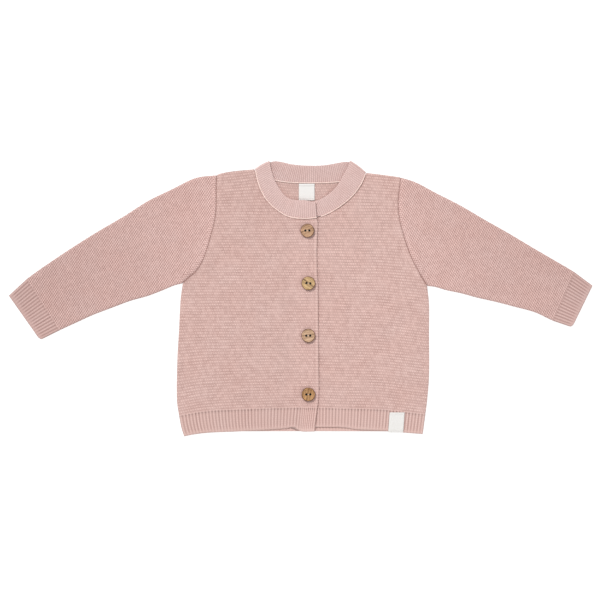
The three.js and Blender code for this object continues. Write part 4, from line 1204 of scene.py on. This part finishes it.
def srgb(r, g, b):
    """Linear colour from 8-bit sRGB."""
    shares = [value / 255 for value in (r, g, b)]
    return tuple(v / 12.92 if v <= 0.04 else ((v + 0.055) / 1.055) ** 2.4 for v in shares) + (1.0,)


def node(tree, kind, **settings):
    made = tree.nodes.new(kind)
    for key, value in settings.items():
        setattr(made, key, value)
    return made


def new_material(name, roughness, specular):
    material = bpy.data.materials.new(name)
    material.use_nodes = True
    tree = material.node_tree
    shader = tree.nodes["Principled BSDF"]
    shader.inputs["Roughness"].default_value = roughness
    shader.inputs["Specular IOR Level"].default_value = specular
    return material, tree, shader


def connect(tree, value, socket):
    """Sets a socket to a constant, or links a node's output to it."""
    if isinstance(value, (int, float, tuple)):
        socket.default_value = value
    else:
        tree.links.new(value, socket)


def place_in_object(tree):
    return node(tree, "ShaderNodeTexCoord").outputs["Object"]


def attribute(tree, name):
    return node(tree, "ShaderNodeAttribute", attribute_name=name, attribute_type="GEOMETRY").outputs["Fac"]


def noise(tree, coordinates, scale, detail=2.0, roughness=0.5):
    made = node(tree, "ShaderNodeTexNoise")
    made.inputs["Scale"].default_value = scale
    made.inputs["Detail"].default_value = detail
    made.inputs["Roughness"].default_value = roughness
    tree.links.new(coordinates, made.inputs["Vector"])
    return made.outputs["Fac"]


def bands(tree, coordinates, direction, scale, distortion, profile="SIN"):
    made = node(tree, "ShaderNodeTexWave", wave_type="BANDS", bands_direction=direction, wave_profile=profile)
    made.inputs["Scale"].default_value = scale
    made.inputs["Distortion"].default_value = distortion
    tree.links.new(coordinates, made.inputs["Vector"])
    return made.outputs["Fac"]


def mapped(tree, coordinates, kind, **settings):
    made = node(tree, "ShaderNodeMapping", vector_type=kind)
    for key, value in settings.items():
        made.inputs[key].default_value = value
    tree.links.new(coordinates, made.inputs["Vector"])
    return made.outputs["Vector"]


def math_node(tree, operation, a, b=0.0):
    made = node(tree, "ShaderNodeMath", operation=operation)
    connect(tree, a, made.inputs[0])
    connect(tree, b, made.inputs[1])
    return made.outputs[0]


def mix_colour(tree, factor, a, b, blend="MIX"):
    made = node(tree, "ShaderNodeMix", data_type="RGBA", blend_type=blend)
    for value, socket in ((factor, made.inputs[0]), (a, made.inputs[6]), (b, made.inputs[7])):
        connect(tree, value, socket)
    return made.outputs[2]


def ranged(tree, value, low, high):
    """A 0 to 1 value moved to the range low to high."""
    return math_node(tree, "ADD", math_node(tree, "MULTIPLY", value, high - low), low)


def add_bump(tree, shader, height, strength, distance):
    bump = node(tree, "ShaderNodeBump")
    bump.inputs["Strength"].default_value = strength
    bump.inputs["Distance"].default_value = distance
    tree.links.new(height, bump.inputs["Height"])
    tree.links.new(bump.outputs["Normal"], shader.inputs["Normal"])


def yarn_material(name, furrow, crest):
    """Matt cotton yarn with painted shade in the furrows between its stitches and painted light on their
    crests, slightly mottled, with a bloom of fine fibres.
    """
    material, tree, shader = new_material(name, 0.92, 0.18)
    place = place_in_object(tree)
    # Painted shade in the furrows and painted light on the crests, by the relief attribute
    base = mix_colour(tree, attribute(tree, "relief"), srgb(*furrow), srgb(*crest))
    warm = mix_colour(tree, 1.0, base, srgb(250, 238, 234), "MULTIPLY")
    base = mix_colour(tree, ranged(tree, noise(tree, place, 34.0, 3.0), -0.25, 0.65), base, warm)
    strands = ranged(tree, noise(tree, place, 900.0, 2.0, 0.6), 0.92, 1.08)
    # Painted light and shade from the shade attribute, times fine random strands
    light = math_node(tree, "MULTIPLY", attribute(tree, "shade"), strands)
    painted_shade_and_strands = node(tree, "ShaderNodeCombineColor")
    for socket in painted_shade_and_strands.inputs:
        tree.links.new(light, socket)
    base = mix_colour(tree, 1.0, base, painted_shade_and_strands.outputs[0], "MULTIPLY")
    tree.links.new(base, shader.inputs["Base Color"])
    shader.inputs["Sheen Weight"].default_value = 0.12
    shader.inputs["Sheen Roughness"].default_value = 0.5
    add_bump(tree, shader, noise(tree, place, 2600.0, 2.0, 0.6), 0.35, 0.0002)
    return material


def label_material():
    """White woven tape with a fine warp and weft."""
    material, tree, shader = new_material("woven_label", 0.6, 0.3)
    place = place_in_object(tree)
    warp, weft = [bands(tree, place, direction, 620.0, 0.4) for direction in "XY"]
    cross = math_node(tree, "MULTIPLY", warp, weft)
    tone = math_node(tree, "MULTIPLY", attribute(tree, "relief"), ranged(tree, cross, 0.72, 1.0))
    base = mix_colour(tree, tone, srgb(192, 187, 183), srgb(239, 237, 234))
    tree.links.new(base, shader.inputs["Base Color"])
    shader.inputs["Sheen Weight"].default_value = 0.1
    add_bump(tree, shader, cross, 0.4, 0.0001)
    return material


def within(tree, coordinates, x, radius):
    """1 inside a circle that is centred at x on the first axis, and 0 outside it."""
    split = node(tree, "ShaderNodeSeparateXYZ")
    tree.links.new(coordinates, split.inputs[0])
    across = math_node(tree, "SUBTRACT", math_node(tree, "ABSOLUTE", split.outputs["X"]), x)
    squares = [math_node(tree, "MULTIPLY", v, v) for v in (across, split.outputs["Y"])]
    distance = math_node(tree, "SQRT", math_node(tree, "ADD", *squares))
    return math_node(tree, "LESS_THAN", distance, radius)


def wood(name, spec):
    """Fine-grained wood with its grain turned by an angle, with painted shade round the rim and painted
    shadow in the holes. A cracked button has one dark crack along its grain."""
    material, tree, shader = new_material(name, 0.48, 0.35)
    place = place_in_object(tree)
    centre = (spec["x"] * MM, spec["y"] * MM, 0)
    grain_turn, hole_turn = [(0, 0, math.radians(spec[angle])) for angle in ("grain", "turn")]
    along_grain = mapped(tree, place, "TEXTURE", Location=centre, Rotation=grain_turn)
    stretched = mapped(tree, along_grain, "POINT", Scale=(0.18, 1.0, 1.0))
    streaks = ranged(tree, noise(tree, stretched, 400.0, 3.0, 0.55), -0.55, 1.5)
    rings = bands(tree, stretched, "Y", 95.0, 3.0, "SAW")
    parts = [math_node(tree, "MULTIPLY", v, share) for v, share in ((streaks, 0.75), (rings, 0.28))]
    grain = math_node(tree, "ADD", *parts)
    base = mix_colour(tree, grain, srgb(*spec["dark"]), srgb(*spec["pale"]))
    if spec["cracked"]:
        split = node(tree, "ShaderNodeSeparateXYZ")
        tree.links.new(along_grain, split.inputs[0])
        waver = ranged(tree, noise(tree, along_grain, 260.0), -0.0006, 0.0006)
        away = math_node(tree, "ABSOLUTE", math_node(tree, "ADD", split.outputs["Y"], waver))
        base = mix_colour(tree, math_node(tree, "LESS_THAN", away, 0.0003), base, srgb(96, 66, 46))
    # Painted shade round the rim
    body = within(tree, along_grain, 0.0, (BUTTON_RADIUS - 0.6) * MM)
    base = mix_colour(tree, body, mix_colour(tree, 1.0, base, srgb(146, 116, 94), "MULTIPLY"), base)
    on_holes = mapped(tree, place, "TEXTURE", Location=centre, Rotation=hole_turn)
    # Painted shadow in the holes
    holes = within(tree, on_holes, HOLE_PLACE * MM, (HOLE_RADIUS + 0.12) * MM)
    base = mix_colour(tree, holes, base, srgb(10, 5, 3))
    tree.links.new(base, shader.inputs["Base Color"])
    add_bump(tree, shader, grain, 0.3, 0.0001)
    return material


# Each yarn's colours: the painted shade of its furrows, then the painted light of its crests
MATERIALS = {
    "knit": yarn_material("garter_knit", (166, 129, 122), (246, 214, 206)),
    "sleeve": yarn_material("sleeve_knit", (158, 120, 114), (246, 213, 206)),
    "band": yarn_material("rib_knit", (194, 161, 156), (238, 211, 206)),
    "chain": yarn_material("chain_yarn", (214, 182, 174), (250, 226, 218)),
    # The seam yarn is painted dark, as the shade in the armhole seam's crease
    "seam": yarn_material("seam_yarn_painted_shade", (136, 102, 96), (170, 134, 127)),
    "thread": yarn_material("button_thread", (176, 150, 128), (222, 202, 184)),
    "label": label_material(),
}


# The garment


def declare(node_name):
    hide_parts(node_name)


knitted_back = back()
front_right = front("knitted_front_right", RIGHT_HALF)
front_left = front("knitted_front_left", LEFT_HALF)
sleeve_right = Sleeve(RIGHT_SLEEVE).build("knitted_sleeve_right")
sleeve_left = Sleeve(LEFT_SLEEVE).build("knitted_sleeve_left")
band = neckband()
chain = linking_chain()
seam_right = armhole_seam("armhole_seam_right", RIGHT_HALF, -1)
seam_left = armhole_seam("armhole_seam_left", LEFT_HALF, 1)
neck_label = label("woven_neck_label", NECK_LABEL, lambda x, y: 0 * x + WALL + GAP, "neck_label")
hem_label = label("woven_hem_label", HEM_LABEL, lambda x, y: underside_left(x, y) + WALL + GAP, "hem_label")
plain_button = button_mesh()
for number, spec in enumerate(BUTTONS, 1):
    button(number, spec, plain_button)

declare("back")
declare("front_right")
declare("front_left")
declare("sleeve_right")
declare("sleeve_left")
declare("neckband")


# Stage, light and camera

PICTURE_WIDTH = 0.660
PICTURE_MIDDLE = (-0.0005, -0.0014)
SENSOR = 36
LENS = 135
# Height at which the picture's width is measured
CLOTH_TOP = 0.004
FLOOR_HALF = 6.0
FLOOR_HEIGHT = -0.0001
FLOOR_GLOW = 0.9
SKY_STRENGTH = 0.62


def floor():
    """A white sheet lit from below, so that it stays white round the garment."""
    mesh = bpy.data.meshes.new("floor")
    signs = ((-1, -1), (1, -1), (1, 1), (-1, 1))
    corners = [(FLOOR_HALF * across, FLOOR_HALF * up, FLOOR_HEIGHT) for across, up in signs]
    mesh.from_pydata(corners, [], [(0, 1, 2, 3)])
    material, tree, shader = new_material("floor", 0.9, 0.1)
    shader.inputs["Base Color"].default_value = (0.25, 0.25, 0.25, 1)
    shader.inputs["Emission Color"].default_value = (1, 1, 1, 1)
    shader.inputs["Emission Strength"].default_value = FLOOR_GLOW
    mesh.materials.append(material)
    plane = bpy.data.objects.new("floor", mesh)
    bpy.context.scene.collection.objects.link(plane)


def area_light(name, location, size, energy):
    lamp = bpy.data.lights.new(name, "AREA")
    lamp.shape = "DISK"
    lamp.size = size
    lamp.energy = energy
    made = bpy.data.objects.new(name, lamp)
    made.location = location
    made.rotation_euler = (-mathutils.Vector(location)).to_track_quat("-Z", "Y").to_euler()
    bpy.context.scene.collection.objects.link(made)


def camera():
    """Straight above the garment, with the picture's width across it."""
    lens = bpy.data.cameras.new("camera")
    lens.lens = LENS
    lens.sensor_width = SENSOR
    lens.clip_start = 0.1
    lens.clip_end = 20
    made = bpy.data.objects.new("camera", lens)
    made.location = (*PICTURE_MIDDLE, PICTURE_WIDTH / SENSOR * LENS + CLOTH_TOP)
    bpy.context.scene.collection.objects.link(made)
    bpy.context.scene.camera = made


def world():
    sky = bpy.data.worlds.new("sky")
    bpy.context.scene.world = sky
    sky.use_nodes = True
    background = sky.node_tree.nodes["Background"]
    background.inputs["Color"].default_value = (1, 1, 1, 1)
    background.inputs["Strength"].default_value = SKY_STRENGTH


floor()
area_light("key", (-1.3, 2.0, 3.3), 0.8, 90)
area_light("fill", (2.2, -1.1, 3.6), 2.5, 20)
camera()
world()
bpy.context.scene.view_settings.view_transform = "Standard"
bpy.context.scene.view_settings.look = "None"
